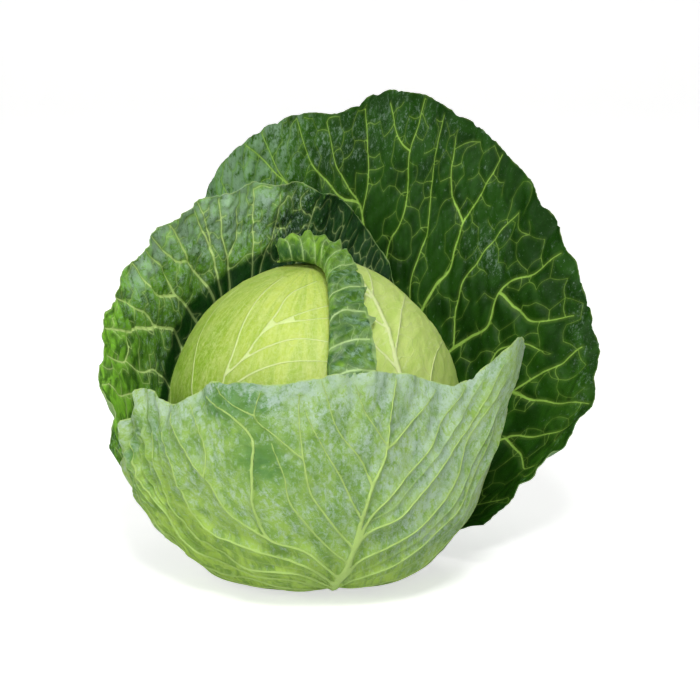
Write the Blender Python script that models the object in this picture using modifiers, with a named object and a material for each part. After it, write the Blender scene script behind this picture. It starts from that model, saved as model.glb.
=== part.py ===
"""A head of cabbage: a pale heart on a cut stem, one wrapper leaf whose edge is turned back, and three open outer leaves.

Metres, +Z up, the cut face of the stem on z = 0 and centred on the origin, the front of the head facing -Y.
The dimensions below are in millimetres. A leaf lies on rays that leave the stem and end on its margin: each
station is (fan angle in degrees, shoulder point, margin point), the blade is splined across the stations and kept
off the head by the leaf's gap. Positions along a leaf are (fan angle, part of the way from stem to margin).
"""

import math
import random

import bmesh
import bpy
import numpy as np
from mathutils.geometry import delaunay_2d_cdt

MM = 0.001

HEAD_CENTRE = np.array([0.0, 0.0, 98.0])
HEAD_RADIUS, HEAD_ABOVE, HEAD_BELOW = 86.5, 91.0, 82.0
HEART_SEGMENTS, HEART_RINGS = 44, 26

STEM_PROFILE = ((0, 0), (17.6, 0), (18.8, 1.2), (18.4, 7.0), (17.4, 12.5), (15.5, 15.2), (0, 15.6))
STEM_STEPS = 36

BLADE = 0.9
BASE = 9.0
ROOT_RADIUS = 20.0
RAY_STEPS = 61
RIB_STEP = 9.0
SPACING = 11.5
SCALLOP = 13.5
SEED = 7

FRONT = dict(
    azimuth=25, spread=40, hand=1, root_z=12, run=(46, 4), belly=(87, 1), fuller=14, keel=7, gap=10.5, rim_gap=4.0,
    fold_gap=(14, 13), scallop=1.6,
    stations=(
        (-95, (-63, -5, 13), (-71, 2, 19)), (-78, (-85, -14, 24), (-89, -6, 33)),
        (-62, (-101, -26, 46), (-105, -12, 63)), (-46, (-108, -42, 66), (-110, -22, 94)),
        (-34, (-100, -58, 92), (-96, -34, 125)), (-22, (-80, -84, 92), (-73, -62, 124)),
        (-16, (-64, -95, 92), (-60, -68, 136)), (-9, (-44, -103, 92), (-44, -72, 139)),
        (0, (-14, -106, 92), (-10, -73, 137)), (8, (10, -106, 92), (12, -72, 141)),
        (28, (60, -96, 92), (57, -63, 140)), (42, (92, -74, 92), (87, -58, 136)),
        (54, (106, -52, 98), (123, -38, 157)), (66, (100, -16, 74), (108, 2, 108)),
        (82, (92, 5, 40), (90, 12, 54)), (98, (74, 5, 16), (70, 10, 24)),
    ),
    waves=((5.0, 30, 0.7, -66, 26), (1.6, 24, 0.85, -10, 40), (1.6, 34, 0.8, 70, 24)),
    ribs=(
        (4.8, 15, ((0, 0), (4, 0.28), (9, 0.39), (13, 0.55), (16, 0.67), (19, 0.76), (20, 0.86), (22, 0.97))),
        (2.4, 7, ((10, 0.45), (17, 0.59), (23, 0.67), (31, 0.78), (35, 0.88), (41, 0.96))),
        (2.4, 7, ((7, 0.35), (14, 0.5), (25, 0.59), (32, 0.69), (37, 0.78), (43, 0.86))),
        (2.2, 7, ((5, 0.28), (13, 0.4), (26, 0.49), (34, 0.59), (39, 0.69), (41, 0.8))),
        (2.2, 7, ((3, 0.2), (12, 0.31), (25, 0.38), (34, 0.48), (44, 0.66))),
        (2.2, 7, ((15, 0.66), (13, 0.74), (9, 0.82), (7, 0.92))),
        (2.4, 7, ((9, 0.46), (4, 0.59), (2, 0.67), (2, 0.76), (2, 0.9))),
        (2.7, 7, ((4, 0.33), (-2, 0.44), (-9, 0.51), (-9, 0.62), (-7, 0.74), (-7, 0.87))),
        (2.4, 7, ((-9, 0.51), (-15, 0.59), (-18, 0.74), (-21, 0.86), (-23, 0.96))),
        (2.4, 7, ((3, 0.28), (-5, 0.39), (-18, 0.5), (-26, 0.6), (-25, 0.74), (-27, 0.9))),
        (2.2, 7, ((1, 0.24), (-9, 0.35), (-26, 0.42), (-35, 0.5), (-37, 0.62), (-36, 0.78), (-35, 0.9))),
        (2.2, 7, ((0, 0.2), (-12, 0.3), (-30, 0.36), (-41, 0.47), (-44, 0.62), (-43, 0.85))),
        (1.9, 0, ((-1, 0.15), (-20, 0.24), (-45, 0.33), (-57, 0.5), (-60, 0.78))),
    ),
    colour=(0.36, 0.50, 0.20),
)

LEFT = dict(
    azimuth=-120, spread=35, hand=-1, root_z=12, run=(50, 8), belly=(80, 22), fuller=0, keel=3, gap=5.5, scallop=1.5,
    stations=(
        (-90, (-104, 0, 47), (-121, -6, 79)), (-81, (-104, 5, 60), (-118, -5, 98)),
        (-72, (-107, 10, 74), (-124, -3, 118)), (-54, (-103, 30, 112), (-118, 4, 166)), (-36, (-90, 50, 140), (-96, 20, 199)),
        (-18, (-70, 75, 150), (-66, 50, 217)), (0, (-35, 94, 160), (-28, 70, 224)),
        (20, (0, 100, 158), (12, 86, 214)), (42, (24, 95, 145), (34, 94, 189)),
        (66, (46, 80, 108), (51, 84, 156)), (90, (52, 70, 62), (58, 70, 88)),
    ),
    waves=((2.6, 34, 0.74, -30, 70), (1.8, 27, 0.8, 30, 60)),
    ribs=(
        (3.8, 13, ((0, 0), (-2, 0.3), (-5, 0.6), (-8, 0.78), (-10, 0.88), (-13, 0.98))),
        (2.2, 7, ((-3, 0.42), (-10, 0.65), (-15, 0.76), (-22, 0.84), (-25, 0.91), (-29, 0.98))),
        (2.2, 7, ((-3, 0.34), (-14, 0.6), (-22, 0.73), (-28, 0.79), (-31, 0.86), (-37, 0.97))),
        (2.2, 7, ((-2, 0.27), (-20, 0.55), (-30, 0.71), (-38, 0.76), (-43, 0.84), (-50, 0.96))),
        (2.0, 7, ((-2, 0.2), (-32, 0.5), (-47, 0.7), (-55, 0.82), (-62, 0.95))),
        (1.9, 7, ((-1, 0.14), (-35, 0.42), (-53, 0.68), (-65, 0.84))),
        (2.0, 0, ((-3, 0.45), (0, 0.7), (-1, 0.85), (-3, 0.97))),
        (2.0, 0, ((-2, 0.36), (10, 0.6), (15, 0.8), (17, 0.96))),
        (2.0, 0, ((-1, 0.28), (20, 0.55), (30, 0.75), (34, 0.95))),
        (1.9, 0, ((-1, 0.2), (32, 0.45), (46, 0.68), (52, 0.92))),
        (1.8, 0, ((0, 0.14), (45, 0.35), (66, 0.6), (74, 0.85))),
    ),
    colour=(0.09, 0.24, 0.05),
)

BACK = dict(
    azimuth=155, spread=38, hand=-1, root_z=12, run=(52, 6), belly=(86, 9), fuller=0, keel=8, gap=13.0, scallop=2.2,
    stations=(
        (-90, (-75, 90, 110), (-80, 112, 141)), (-72, (-60, 105, 140), (-70, 118, 203)),
        (-54, (-40, 115, 150), (-48, 121, 237)), (-38, (-10, 119, 158), (-11, 121, 258)),
        (-27, (14, 119, 166), (16, 121, 259)), (-17, (32, 118, 170), (44, 119, 273)),
        (0, (60, 110, 165), (86, 106, 264)), (18, (90, 95, 155), (124, 88, 235)),
        (36, (114, 75, 130), (153, 62, 193)), (51, (130, 50, 102), (171, 36, 144)),
        (59, (133, 40, 84), (173, 24, 118)), (67, (131, 30, 66), (166, 16, 94)),
        (80, (112, 22, 38), (131, 9, 54)), (96, (86, 20, 20), (106, 10, 24)),
    ),
    waves=((3.0, 38, 0.74, -20, 80), (2.0, 29, 0.82, 50, 50)),
    ribs=(
        (4.0, 15, ((0, 0), (3, 0.3), (4, 0.5), (6, 0.62), (11, 0.72), (11, 0.81), (14, 0.9), (15, 0.98))),
        (2.4, 7, ((3, 0.4), (-5, 0.55), (-11, 0.68), (-7, 0.76), (-8, 0.88), (-7, 0.97))),
        (2.4, 7, ((2, 0.33), (-12, 0.57), (-20, 0.75), (-19, 0.84), (-21, 0.97))),
        (2.2, 7, ((-16, 0.66), (-21, 0.78), (-27, 0.88), (-30, 0.96))),
        (2.2, 7, ((1, 0.26), (-20, 0.56), (-38, 0.82), (-46, 0.93))),
        (1.9, 7, ((0, 0.2), (-34, 0.52), (-56, 0.78), (-62, 0.93))),
        (1.6, 0, ((-1, 0.13), (-42, 0.36), (-66, 0.6), (-76, 0.85))),
        (2.7, 0, ((3, 0.35), (12, 0.46), (20, 0.57), (29, 0.69), (28, 0.76), (35, 0.88), (38, 0.97))),
        (1.9, 0, ((28, 0.76), (41, 0.82), (47, 0.93))),
        (2.4, 0, ((2, 0.25), (20, 0.41), (35, 0.53), (44, 0.64), (50, 0.79), (53, 0.9))),
        (1.9, 0, ((45, 0.66), (52, 0.73), (60, 0.86), (64, 0.93))),
        (2.2, 0, ((1, 0.17), (30, 0.33), (46, 0.48), (56, 0.66), (66, 0.86))),
        (1.9, 0, ((0, 0.1), (45, 0.25), (66, 0.45), (78, 0.75))),
    ),
    colour=(0.05, 0.17, 0.03),
)

# (fold point, far margin point, width turned back past the fold, radius of the roll)
WRAPPER = dict(
    gap=2.4, ragged=1.6,
    stations=(
        ((10, -17, 18), (20, 3, 18), 1, 3.2), ((19, -52, 35), (60, 5, 37), 7, 3.2),
        ((16, -77, 63), (78, 12, 65), 24, 3.2), ((13, -86, 98), (86, 8, 96), 36, 3.2),
        ((12, -76, 137), (82, 3, 126), 35, 3.2), ((13, -60, 162), (72, 0, 148), 32, 3.4),
        ((13, -40, 178), (56, 2, 168), 31, 4.2), ((11, -21, 187), (34, 22, 179), 34, 6.0),
        ((4, -6, 189), (4, 38, 179), 36, 7.5), ((-7, 3, 188), (-9, 32, 180), 33, 7.5),
        ((-18, 10, 186), (-20, 24, 183), 20, 6.0),
    ),
    # (height, width, ((part of the way up, part of the way across), ...))
    ribs=(
        (2.6, 11, ((0, 0.5), (0.2, 0.42), (0.45, 0.36), (0.7, 0.32), (0.9, 0.4))),
        (1.0, 0, ((0.2, 0.42), (0.35, 0.2), (0.45, 0.06))),
        (1.0, 0, ((0.4, 0.37), (0.52, 0.2), (0.62, 0.05))),
        (1.0, 0, ((0.3, 0.39), (0.42, 0.62), (0.48, 0.85))),
        (1.0, 0, ((0.5, 0.35), (0.6, 0.6), (0.66, 0.85))),
    ),
    colour=(0.50, 0.64, 0.20),
)
HEART_COLOUR = (0.58, 0.68, 0.22)
STEM_COLOUR = (0.66, 0.70, 0.42)


def spline(at, rows, x):
    """Smooth curve through rows given at the places `at`, read at x."""
    at, rows, x = np.asarray(at, float), np.asarray(rows, float), np.asarray(x, float)
    rows = rows.reshape(len(at), -1)
    gap = np.diff(at)
    slope = np.diff(rows, axis=0) / gap[:, None]
    tangent = np.empty_like(rows)
    tangent[0], tangent[-1] = slope[0], slope[-1]
    tangent[1:-1] = (slope[:-1] * gap[1:, None] + slope[1:] * gap[:-1, None]) / (gap[1:] + gap[:-1])[:, None]
    i = np.clip(np.searchsorted(at, x) - 1, 0, len(at) - 2)
    h = gap[i][:, None]
    t = ((x - at[i]) / gap[i])[:, None]
    return (
        (2 * t**3 - 3 * t**2 + 1) * rows[i] + (t**3 - 2 * t**2 + t) * h * tangent[i]
        + (3 * t**2 - 2 * t**3) * rows[i + 1] + (t**3 - t**2) * h * tangent[i + 1]
    )


def smooth(low, high, x):
    t = np.clip((np.asarray(x, float) - low) / (high - low), 0, 1)
    return t * t * (3 - 2 * t)


def head_radii(from_centre, gap):
    gap = np.asarray(gap, float)
    side = HEAD_RADIUS + gap
    upright = np.where(from_centre[..., 2] > 0, HEAD_ABOVE, HEAD_BELOW) + gap
    return np.stack(np.broadcast_arrays(side, side, upright), axis=-1)


def off_head(points, gap):
    """Points nearer to the head than gap, moved out to it."""
    q = points - HEAD_CENTRE
    inside = np.linalg.norm(q / head_radii(q, gap), axis=-1)
    return HEAD_CENTRE + q * ((inside**14 + 1) ** (1 / 14) / np.maximum(inside, 1e-6))[..., None]


def on_head(points, gap):
    q = points - HEAD_CENTRE
    return HEAD_CENTRE + q / np.linalg.norm(q / head_radii(q, gap), axis=-1)[..., None]


def even_rows(curves, count):
    """Each curve of points resampled evenly along its length. Returns the points and the lengths."""
    steps = np.linalg.norm(np.diff(curves, axis=1), axis=-1)
    along = np.concatenate([np.zeros((len(curves), 1)), np.cumsum(steps, axis=1)], axis=1)
    out = np.empty((len(curves), count, 3))
    for i, curve in enumerate(curves):
        want = np.linspace(0, along[i, -1], count)
        for k in range(3):
            out[i, :, k] = np.interp(want, along[i], curve[:, k])
    return out, along[:, -1]


def grid_normals(grid):
    across = np.gradient(grid, axis=0)
    along = np.gradient(grid, axis=1)
    n = np.cross(across, along)
    return n / np.maximum(np.linalg.norm(n, axis=-1), 1e-9)[..., None]


def read_grid(grid, i, j):
    """The grid between its points."""
    i = np.clip(i, 0, grid.shape[0] - 1.001)
    j = np.clip(j, 0, grid.shape[1] - 1.001)
    a, b = i.astype(int), j.astype(int)
    u, v = i - a, j - b
    if grid.ndim == 3:
        u, v = u[..., None], v[..., None]
    return (
        grid[a, b] * (1 - u) * (1 - v) + grid[a + 1, b] * u * (1 - v)
        + grid[a, b + 1] * (1 - u) * v + grid[a + 1, b + 1] * u * v
    )


class OpenLeaf:
    """An outer leaf, drawn flat as a fan: the distance from the fan's centre is the way along a ray."""

    def __init__(self, leaf):
        self.leaf = leaf
        at = [s[0] for s in leaf["stations"]]
        self.low, self.high = at[0], at[-1]
        self.fan = np.linspace(self.low, self.high, 2 * (self.high - self.low) + 1)
        fan = self.fan
        shoulder = spline(at, [s[1] for s in leaf["stations"]], fan)
        margin = spline(at, [s[2] for s in leaf["stations"]], fan)
        azimuth = np.radians(leaf["azimuth"] + leaf["hand"] * leaf["spread"] * fan / 90)
        out = np.stack([np.sin(azimuth), -np.cos(azimuth), 0 * azimuth], axis=-1)
        flat, upward = np.array([1, 1, 0]), np.array([0, 0, 1])
        keel = leaf["keel"] * np.exp(-((fan / 16) ** 2))[:, None] * upward
        root = out * ROOT_RADIUS + leaf["root_z"] * upward
        run = out * leaf["run"][0] + leaf["run"][1] * upward + keel
        run = run + (shoulder - run) * 0.15 * flat
        belly = out * (leaf["belly"][0] + leaf["fuller"] * smooth(0, 45, fan)[:, None]) + leaf["belly"][1] * upward
        belly += 0.8 * keel
        belly = belly + (shoulder - belly) * 0.4 * flat
        t = np.linspace(0, 1, 181)[None, :, None]
        u = 1 - t
        rays = (
            u**4 * root[:, None] + 4 * u**3 * t * run[:, None] + 6 * u * u * t * t * belly[:, None]
            + 4 * u * t**3 * shoulder[:, None] + t**4 * margin[:, None]
        )
        gap = np.full(rays.shape[:2], leaf["gap"])
        if "rim_gap" in leaf:
            middle, half = leaf["fold_gap"]
            rim = leaf["rim_gap"] + (leaf["gap"] - leaf["rim_gap"]) * np.exp(-(((fan - middle) / half) ** 4))
            gap += smooth(0.7, 1, t[..., 0]) * (rim[:, None] - gap)
        self.grid, self.length = even_rows(off_head(rays, gap), RAY_STEPS)
        self.normal = grid_normals(self.grid)
        if np.mean(np.sum(self.normal * (self.grid - HEAD_CENTRE), axis=-1)) < 0:
            self.normal = -self.normal
        steps = np.linalg.norm(np.diff(self.grid[:, -1], axis=0), axis=-1)
        self.arc = np.concatenate([[0], np.cumsum(steps)])

    def flat(self, fan, part):
        fan = np.asarray(fan, float)
        rho = BASE + np.asarray(part, float) * np.interp(fan, self.fan, self.length)
        return np.stack([rho * np.sin(np.radians(fan)), rho * np.cos(np.radians(fan))], axis=-1)

    def unflat(self, xy):
        fan = np.degrees(np.arctan2(xy[:, 0], xy[:, 1]))
        part = (np.hypot(xy[:, 0], xy[:, 1]) - BASE) / np.interp(fan, self.fan, self.length)
        return fan, part

    def place(self, xy):
        fan, part = self.unflat(xy)
        i, j = (fan - self.low) * 2, part * (RAY_STEPS - 1)
        points, normals = read_grid(self.grid, i, j), read_grid(self.normal, i, j)
        arc = np.interp(fan, self.fan, self.arc)
        lift = np.zeros(len(points))
        for k, (height, length, start, middle, reach) in enumerate(self.leaf["waves"]):
            near = np.exp(-(((fan - middle) / reach) ** 2)) * smooth(start, 1.0, part)
            lift += height * near * np.sin(2 * math.pi * arc / length + 1.3 * k)
        return points + normals * lift[:, None]

    def extra(self):
        return np.zeros((0, 2))

    def outline(self):
        """Corners of the flat leaf, round its edge: base, right side, scalloped margin, left side."""
        count = int(self.arc[-1] / SCALLOP) * 3
        fan = np.interp(np.linspace(0, self.arc[-1], count + 1), self.arc, self.fan)
        bite = np.where(np.arange(count + 1) % 3 == 0, self.leaf["scallop"], 0.0)
        bite = bite * (0.6 + 0.4 * np.sin(np.arange(count + 1) * 1.7))
        margin = self.flat(fan, 1 - bite / np.interp(fan, self.fan, self.length))
        base = self.flat(np.linspace(self.low, self.high, 9), 0)
        sides = []
        for end in (self.low, self.high):
            steps = int(np.interp(end, self.fan, self.length) / 8)
            sides.append(self.flat(np.full(steps - 1, end), np.arange(1, steps) / steps))
        return np.concatenate([base, sides[1], margin[::-1], sides[0][::-1]])


class WrapperLeaf:
    """The leaf that lies on the heart. Flat, x runs across it from the fold and y runs up the fold."""

    def __init__(self, leaf):
        self.leaf = leaf
        rows = leaf["stations"]
        at = np.linspace(0, 1, len(rows))
        self.up = np.linspace(0, 1, 121)
        fold = on_head(spline(at, [r[0] for r in rows], self.up), leaf["gap"])
        far = on_head(spline(at, [r[1] for r in rows], self.up), leaf["gap"])
        self.turned = spline(at, [r[2] for r in rows], self.up)[:, 0]
        self.roll = spline(at, [r[3] for r in rows], self.up)[:, 0]
        t = np.linspace(0, 1, 121)
        a, b = fold - HEAD_CENTRE, far - HEAD_CENTRE
        a, b = a / np.linalg.norm(a, axis=-1)[:, None], b / np.linalg.norm(b, axis=-1)[:, None]
        angle = np.arccos(np.clip(np.sum(a * b, axis=-1), -1, 1))[:, None, None]
        way = (
            np.sin((1 - t[None, :, None]) * angle) * a[:, None] + np.sin(t[None, :, None] * angle) * b[:, None]
        ) / np.sin(angle)
        self.grid, self.length = even_rows(on_head(HEAD_CENTRE + way * 90, leaf["gap"]), RAY_STEPS)
        self.normal = grid_normals(self.grid)
        if np.mean(np.sum(self.normal * (self.grid - HEAD_CENTRE), axis=-1)) < 0:
            self.normal = -self.normal
        self.height = np.linalg.norm(np.diff(fold, axis=0), axis=-1).sum()

    def flat(self, up, across):
        """across is a part of the blade's width where positive, of the turned width where negative."""
        up, across = np.broadcast_arrays(np.asarray(up, float), np.asarray(across, float))
        wide = np.where(across < 0, np.interp(up, self.up, self.turned), np.interp(up, self.up, self.length))
        return np.stack([across * wide, up * self.height], axis=-1)

    def place(self, xy):
        up = np.clip(xy[:, 1] / self.height, 0, 1)
        length = np.interp(up, self.up, self.length)
        roll = np.interp(up, self.up, self.roll)
        past = np.maximum(-xy[:, 0], 0)
        over = np.maximum(past - math.pi * roll, 0)
        turn = np.minimum(past / roll, math.pi)
        i = up * (len(self.up) - 1)
        j = np.where(xy[:, 0] >= 0, xy[:, 0], over) / length * (RAY_STEPS - 1)
        points, normals = read_grid(self.grid, i, j), read_grid(self.normal, i, j)
        along = read_grid(self.grid, i, j + 0.5) - read_grid(self.grid, i, np.maximum(j - 0.5, 0))
        along /= np.linalg.norm(along, axis=-1)[:, None]
        ruffle = smooth(0.25, 1, past / np.interp(up, self.up, self.turned)) * smooth(0.55, 0.9, up)
        y = up * self.height
        lift = roll * (1 - np.cos(turn)) + 1.6 * ruffle * np.sin(y / 2.7 + 0.8 * np.sin(y / 9))
        # a low swell along the fold keeps the turned edge from lying dead flat
        lift += smooth(0, 8, over) * (0.5 + 0.5 * np.sin(y / 6.0))
        return points + normals * lift[:, None] - along * (roll * np.sin(turn))[:, None]

    def extra(self):
        """Rows of points round the roll, so that it turns evenly."""
        up = np.linspace(0.05, 0.97, int(self.height / 8))
        roll = np.interp(up, self.up, self.roll)
        rows = [np.stack([-roll * math.pi * part, up * self.height], axis=-1) for part in (0, 0.25, 0.5, 0.75, 1)]
        return np.concatenate(rows)

    def outline(self):
        steps = int(self.height / 6)
        up = np.arange(1, steps) / steps
        ragged = self.leaf["ragged"] * np.sin(up * 61) * np.sin(up * 23 + 1) / np.interp(up, self.up, self.turned)
        left = self.flat(up, -1 + np.clip(ragged, -0.3, 0.3) * smooth(0.1, 0.3, up))
        right = self.flat(up, 1 - 0.01 * (1 + np.sin(up * 70)))
        low = self.flat(0, np.linspace(0, 1, 6))
        high = np.concatenate([self.flat(1, np.linspace(1, 0, 4)), self.flat(1, np.array([-0.5, -1.0]))])
        start = self.flat(0, -1)[None]
        return np.concatenate([start, low, right, high, left[::-1]])


def rib_rows(sheet, ribs, outline):
    """Points down the middle of each rib and along its feet, the rib's height at each, and the ridge's own edges."""
    points, heights, ridge = [], [], []
    for height, width, route in ribs:
        way = sheet.flat(*np.array(route, float).T)
        lengths = np.concatenate([[0], np.cumsum(np.linalg.norm(np.diff(way, axis=0), axis=-1))])
        count = max(3, int(lengths[-1] / RIB_STEP))
        at = np.linspace(0, 1, count + 1)
        middle = spline(lengths / lengths[-1], way, at)
        side = np.gradient(middle, axis=0)
        side = np.stack([side[:, 1], -side[:, 0]], axis=-1) / np.linalg.norm(side, axis=-1)[:, None]
        half = (width / 2) * (1 - 0.6 * at[:, None])
        rows = [(middle, height * (1 - at) ** 0.7 + 0.25)]
        if width:
            rows += [(middle + side * half, 0 * at), (middle - side * half, 0 * at)]
        older = np.array(points).reshape(-1, 2)
        for row, (line, rise) in enumerate(rows):
            clear = within(outline, line) & apart(line, outline, 2.4)
            if len(older):
                clear &= apart(line, older, 3.4)
            last = None
            for k in np.flatnonzero(clear):
                points.append(line[k])
                heights.append(rise[k])
                if row == 0 and last == k - 1:
                    ridge.append((len(points) - 2, len(points) - 1))
                last = k
    return np.array(points), np.array(heights), ridge


def within(outline, points):
    inside = np.zeros(len(points), bool)
    x, y = points[:, 0], points[:, 1]
    for (ax, ay), (bx, by) in zip(outline, np.roll(outline, -1, axis=0)):
        crosses = (ay > y) != (by > y)
        reach = ax + (y - ay) * (bx - ax) / np.where(by == ay, 1, by - ay)
        inside ^= crosses & (x < reach)
    return inside


def apart(points, others, least):
    """Which points keep `least` from all the others."""
    return np.array([np.min(np.sum((others - p) ** 2, axis=1)) > least**2 for p in points], bool)


def material(name, colour, rough):
    made = bpy.data.materials.new(name)
    made.use_nodes = True
    shader = made.node_tree.nodes["Principled BSDF"]
    shader.inputs["Base Color"].default_value = (*colour, 1)
    shader.inputs["Roughness"].default_value = rough
    made.diffuse_color = (*colour, 1)
    return made


def add_object(name, mesh, colour, rough=0.5):
    obj = bpy.data.objects.new(name, mesh)
    collection.objects.link(obj)
    mesh.materials.append(material(name, colour, rough))
    mesh.shade_smooth()
    return obj


def build_leaf(name, sheet, spacing=SPACING):
    """Triangles over the flat leaf, carried onto its surface and thickened outwards, thickest along the ribs."""
    rng = random.Random(SEED)
    outline = sheet.outline()
    ribs, heights, ridge = rib_rows(sheet, sheet.leaf["ribs"], outline)
    extra = sheet.extra()
    if len(extra):
        extra = extra[within(outline, extra) & apart(extra, np.concatenate([outline, ribs]), 2.2)]
        ribs, heights = np.concatenate([ribs, extra]), np.concatenate([heights, np.zeros(len(extra))])
    low, high = outline.min(axis=0), outline.max(axis=0)
    fill = [
        (x + (spacing / 2 if row % 2 else 0) + rng.uniform(-1, 1), y + rng.uniform(-1, 1))
        for row, y in enumerate(np.arange(low[1], high[1], spacing * 0.866))
        for x in np.arange(low[0], high[0], spacing)
    ]
    fill = np.array(fill)
    fill = fill[within(outline, fill)]
    fill = fill[apart(fill, np.concatenate([outline, ribs]), spacing * 0.52)]
    points = np.concatenate([outline, ribs, fill])
    loop = [(k, (k + 1) % len(outline)) for k in range(len(outline))]
    loop += [(len(outline) + j, len(outline) + k) for j, k in ridge]
    verts, _, faces, origin, _, _ = delaunay_2d_cdt([tuple(p) for p in points.tolist()], loop, [], 1, 1e-4)
    thick = np.zeros(len(points))
    thick[len(outline) : len(outline) + len(ribs)] = heights
    thick = np.array([thick[o[0]] if o else 0.0 for o in origin])
    placed = sheet.place(np.array([tuple(v) for v in verts]))
    a, b, c = (placed[[f[k] for f in faces]] for k in range(3))
    facing = np.cross(b - a, c - a)
    outward = np.sum(facing * sheet_normals(sheet, verts, faces), axis=-1).sum()
    if outward < 0:
        faces = [tuple(reversed(f)) for f in faces]
    mesh = bpy.data.meshes.new(name)
    mesh.from_pydata((placed * MM).tolist(), [], faces)
    obj = add_object(name, mesh, sheet.leaf["colour"])
    group = obj.vertex_groups.new(name="thickness")
    most = BLADE + thick.max()
    for k, extra in enumerate(thick):
        group.add([k], (BLADE + extra) / most, "REPLACE")
    solid = obj.modifiers.new("blade", "SOLIDIFY")
    solid.thickness = most * MM
    solid.offset = 1
    solid.vertex_group = group.name
    solid.use_even_offset = False
    return obj


def sheet_normals(sheet, verts, faces):
    """Outward direction at the middle of each face: away from the head, measured on the blade, not the turned edge."""
    xy = np.array([tuple(v) for v in verts])
    middle = np.mean([xy[[f[k] for f in faces]] for k in range(3)], axis=0)
    here = sheet.place(middle)
    away = here - HEAD_CENTRE
    if isinstance(sheet, WrapperLeaf):
        away = away * (middle[:, :1] > 0)
    return away


def build_heart():
    mesh = bpy.data.meshes.new("heart")
    ball = bmesh.new()
    bmesh.ops.create_uvsphere(ball, u_segments=HEART_SEGMENTS, v_segments=HEART_RINGS, radius=1)
    for v in ball.verts:
        azimuth = math.atan2(v.co.x, -v.co.y)
        # the heart is not quite round: a little flatter at the upper left, fuller on the right
        side = HEAD_RADIUS * (1 - 0.012 * (1 + math.cos(2 * azimuth + 1.2)))
        v.co.x *= side
        v.co.y *= side
        v.co.z = HEAD_CENTRE[2] + v.co.z * (HEAD_ABOVE if v.co.z > 0 else HEAD_BELOW)
    bmesh.ops.scale(ball, vec=(MM, MM, MM), verts=ball.verts)
    ball.to_mesh(mesh)
    ball.free()
    return add_object("heart", mesh, HEART_COLOUR, 0.45)


def build_stem():
    mesh = bpy.data.meshes.new("stem")
    profile = [(x * MM, 0, z * MM) for x, z in STEM_PROFILE]
    mesh.from_pydata(profile, [(k, k + 1) for k in range(len(profile) - 1)], [])
    obj = add_object("stem", mesh, STEM_COLOUR, 0.6)
    turn = obj.modifiers.new("turned", "SCREW")
    turn.axis = "Z"
    turn.steps = turn.render_steps = STEM_STEPS
    turn.use_merge_vertices = True
    turn.merge_threshold = 0.00001
    turn.use_normal_calculate = True
    return obj


for old in list(bpy.data.objects):
    bpy.data.objects.remove(old, do_unlink=True)
collection = bpy.data.collections.new("cabbage_head")
bpy.context.scene.collection.children.link(collection)

build_stem()
build_heart()
build_leaf("wrapper_leaf", WrapperLeaf(WRAPPER), 10)
build_leaf("left_leaf", OpenLeaf(LEFT))
build_leaf("front_leaf", OpenLeaf(FRONT))
build_leaf("back_leaf", OpenLeaf(BACK))
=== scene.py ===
# Cabbage head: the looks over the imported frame. Millimetres inside, metres in the meshes.
import heapq
import math
import random

import bpy
import numpy as np
from mathutils.geometry import delaunay_2d_cdt
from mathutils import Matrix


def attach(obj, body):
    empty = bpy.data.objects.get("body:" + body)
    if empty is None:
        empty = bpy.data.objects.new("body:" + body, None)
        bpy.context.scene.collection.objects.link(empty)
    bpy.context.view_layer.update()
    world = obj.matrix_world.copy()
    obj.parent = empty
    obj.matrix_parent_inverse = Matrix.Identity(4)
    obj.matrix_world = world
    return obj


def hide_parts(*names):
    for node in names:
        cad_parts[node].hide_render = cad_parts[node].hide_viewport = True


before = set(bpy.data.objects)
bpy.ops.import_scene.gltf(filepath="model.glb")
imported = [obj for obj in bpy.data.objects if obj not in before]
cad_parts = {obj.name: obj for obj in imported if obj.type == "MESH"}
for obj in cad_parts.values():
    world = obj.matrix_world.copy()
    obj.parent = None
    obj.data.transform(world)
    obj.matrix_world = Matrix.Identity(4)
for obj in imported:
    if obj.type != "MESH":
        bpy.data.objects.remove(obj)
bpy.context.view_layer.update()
print("frame loaded:", len(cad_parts), "nodes")

mm = 0.001
# the heart: its radius at the side, and its height above and below the centre
head = dict(centre=np.array([0.0, 0.0, 98.0]), radius=86.5, above=91.0, below=82.0)
nearHead = 90.0  # a first distance from the centre, which onHead then corrects
# an open leaf's plan: radius of its flat foot and of its ring on the stem, rays a degree and points on a ray,
# how far round the keel reaches and how much is left of it at the belly, and how run and belly lean to the
# shoulder
plan = dict(foot=9.0, stem=20.0, perDegree=4, raySteps=241, keelReach=16, keelLeft=0.8, fullBy=45,
            runLean=0.15, bellyLean=0.4)
# thickness, less at the margin; length of a lobe, and how far in from the margin lobes and crinkles fade
blade = dict(thickness=0.9, thinner=0.3, thinnerWithin=4.0, lobe=13.5, lobeWithin=9.0, crinkleWithin=5.0)
# the flat mesh: its step, and the least distances of veins and fill from the margin and of fill from a vein
meshing = dict(step=2.0, jitter=0.12, veinToEdge=0.7, fillToEdge=0.6, fillToVein=0.55,
               onVein=0.05, offVein=0.12, longSide=0.8)
# main veins wander where they are free of the foot, and side veins start on the vein that they leave
veining = dict(lengths=(40, 23), freeFrom=15, freeBy=60, snapWithin=8, snapFade=18, bend=0.16)


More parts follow.
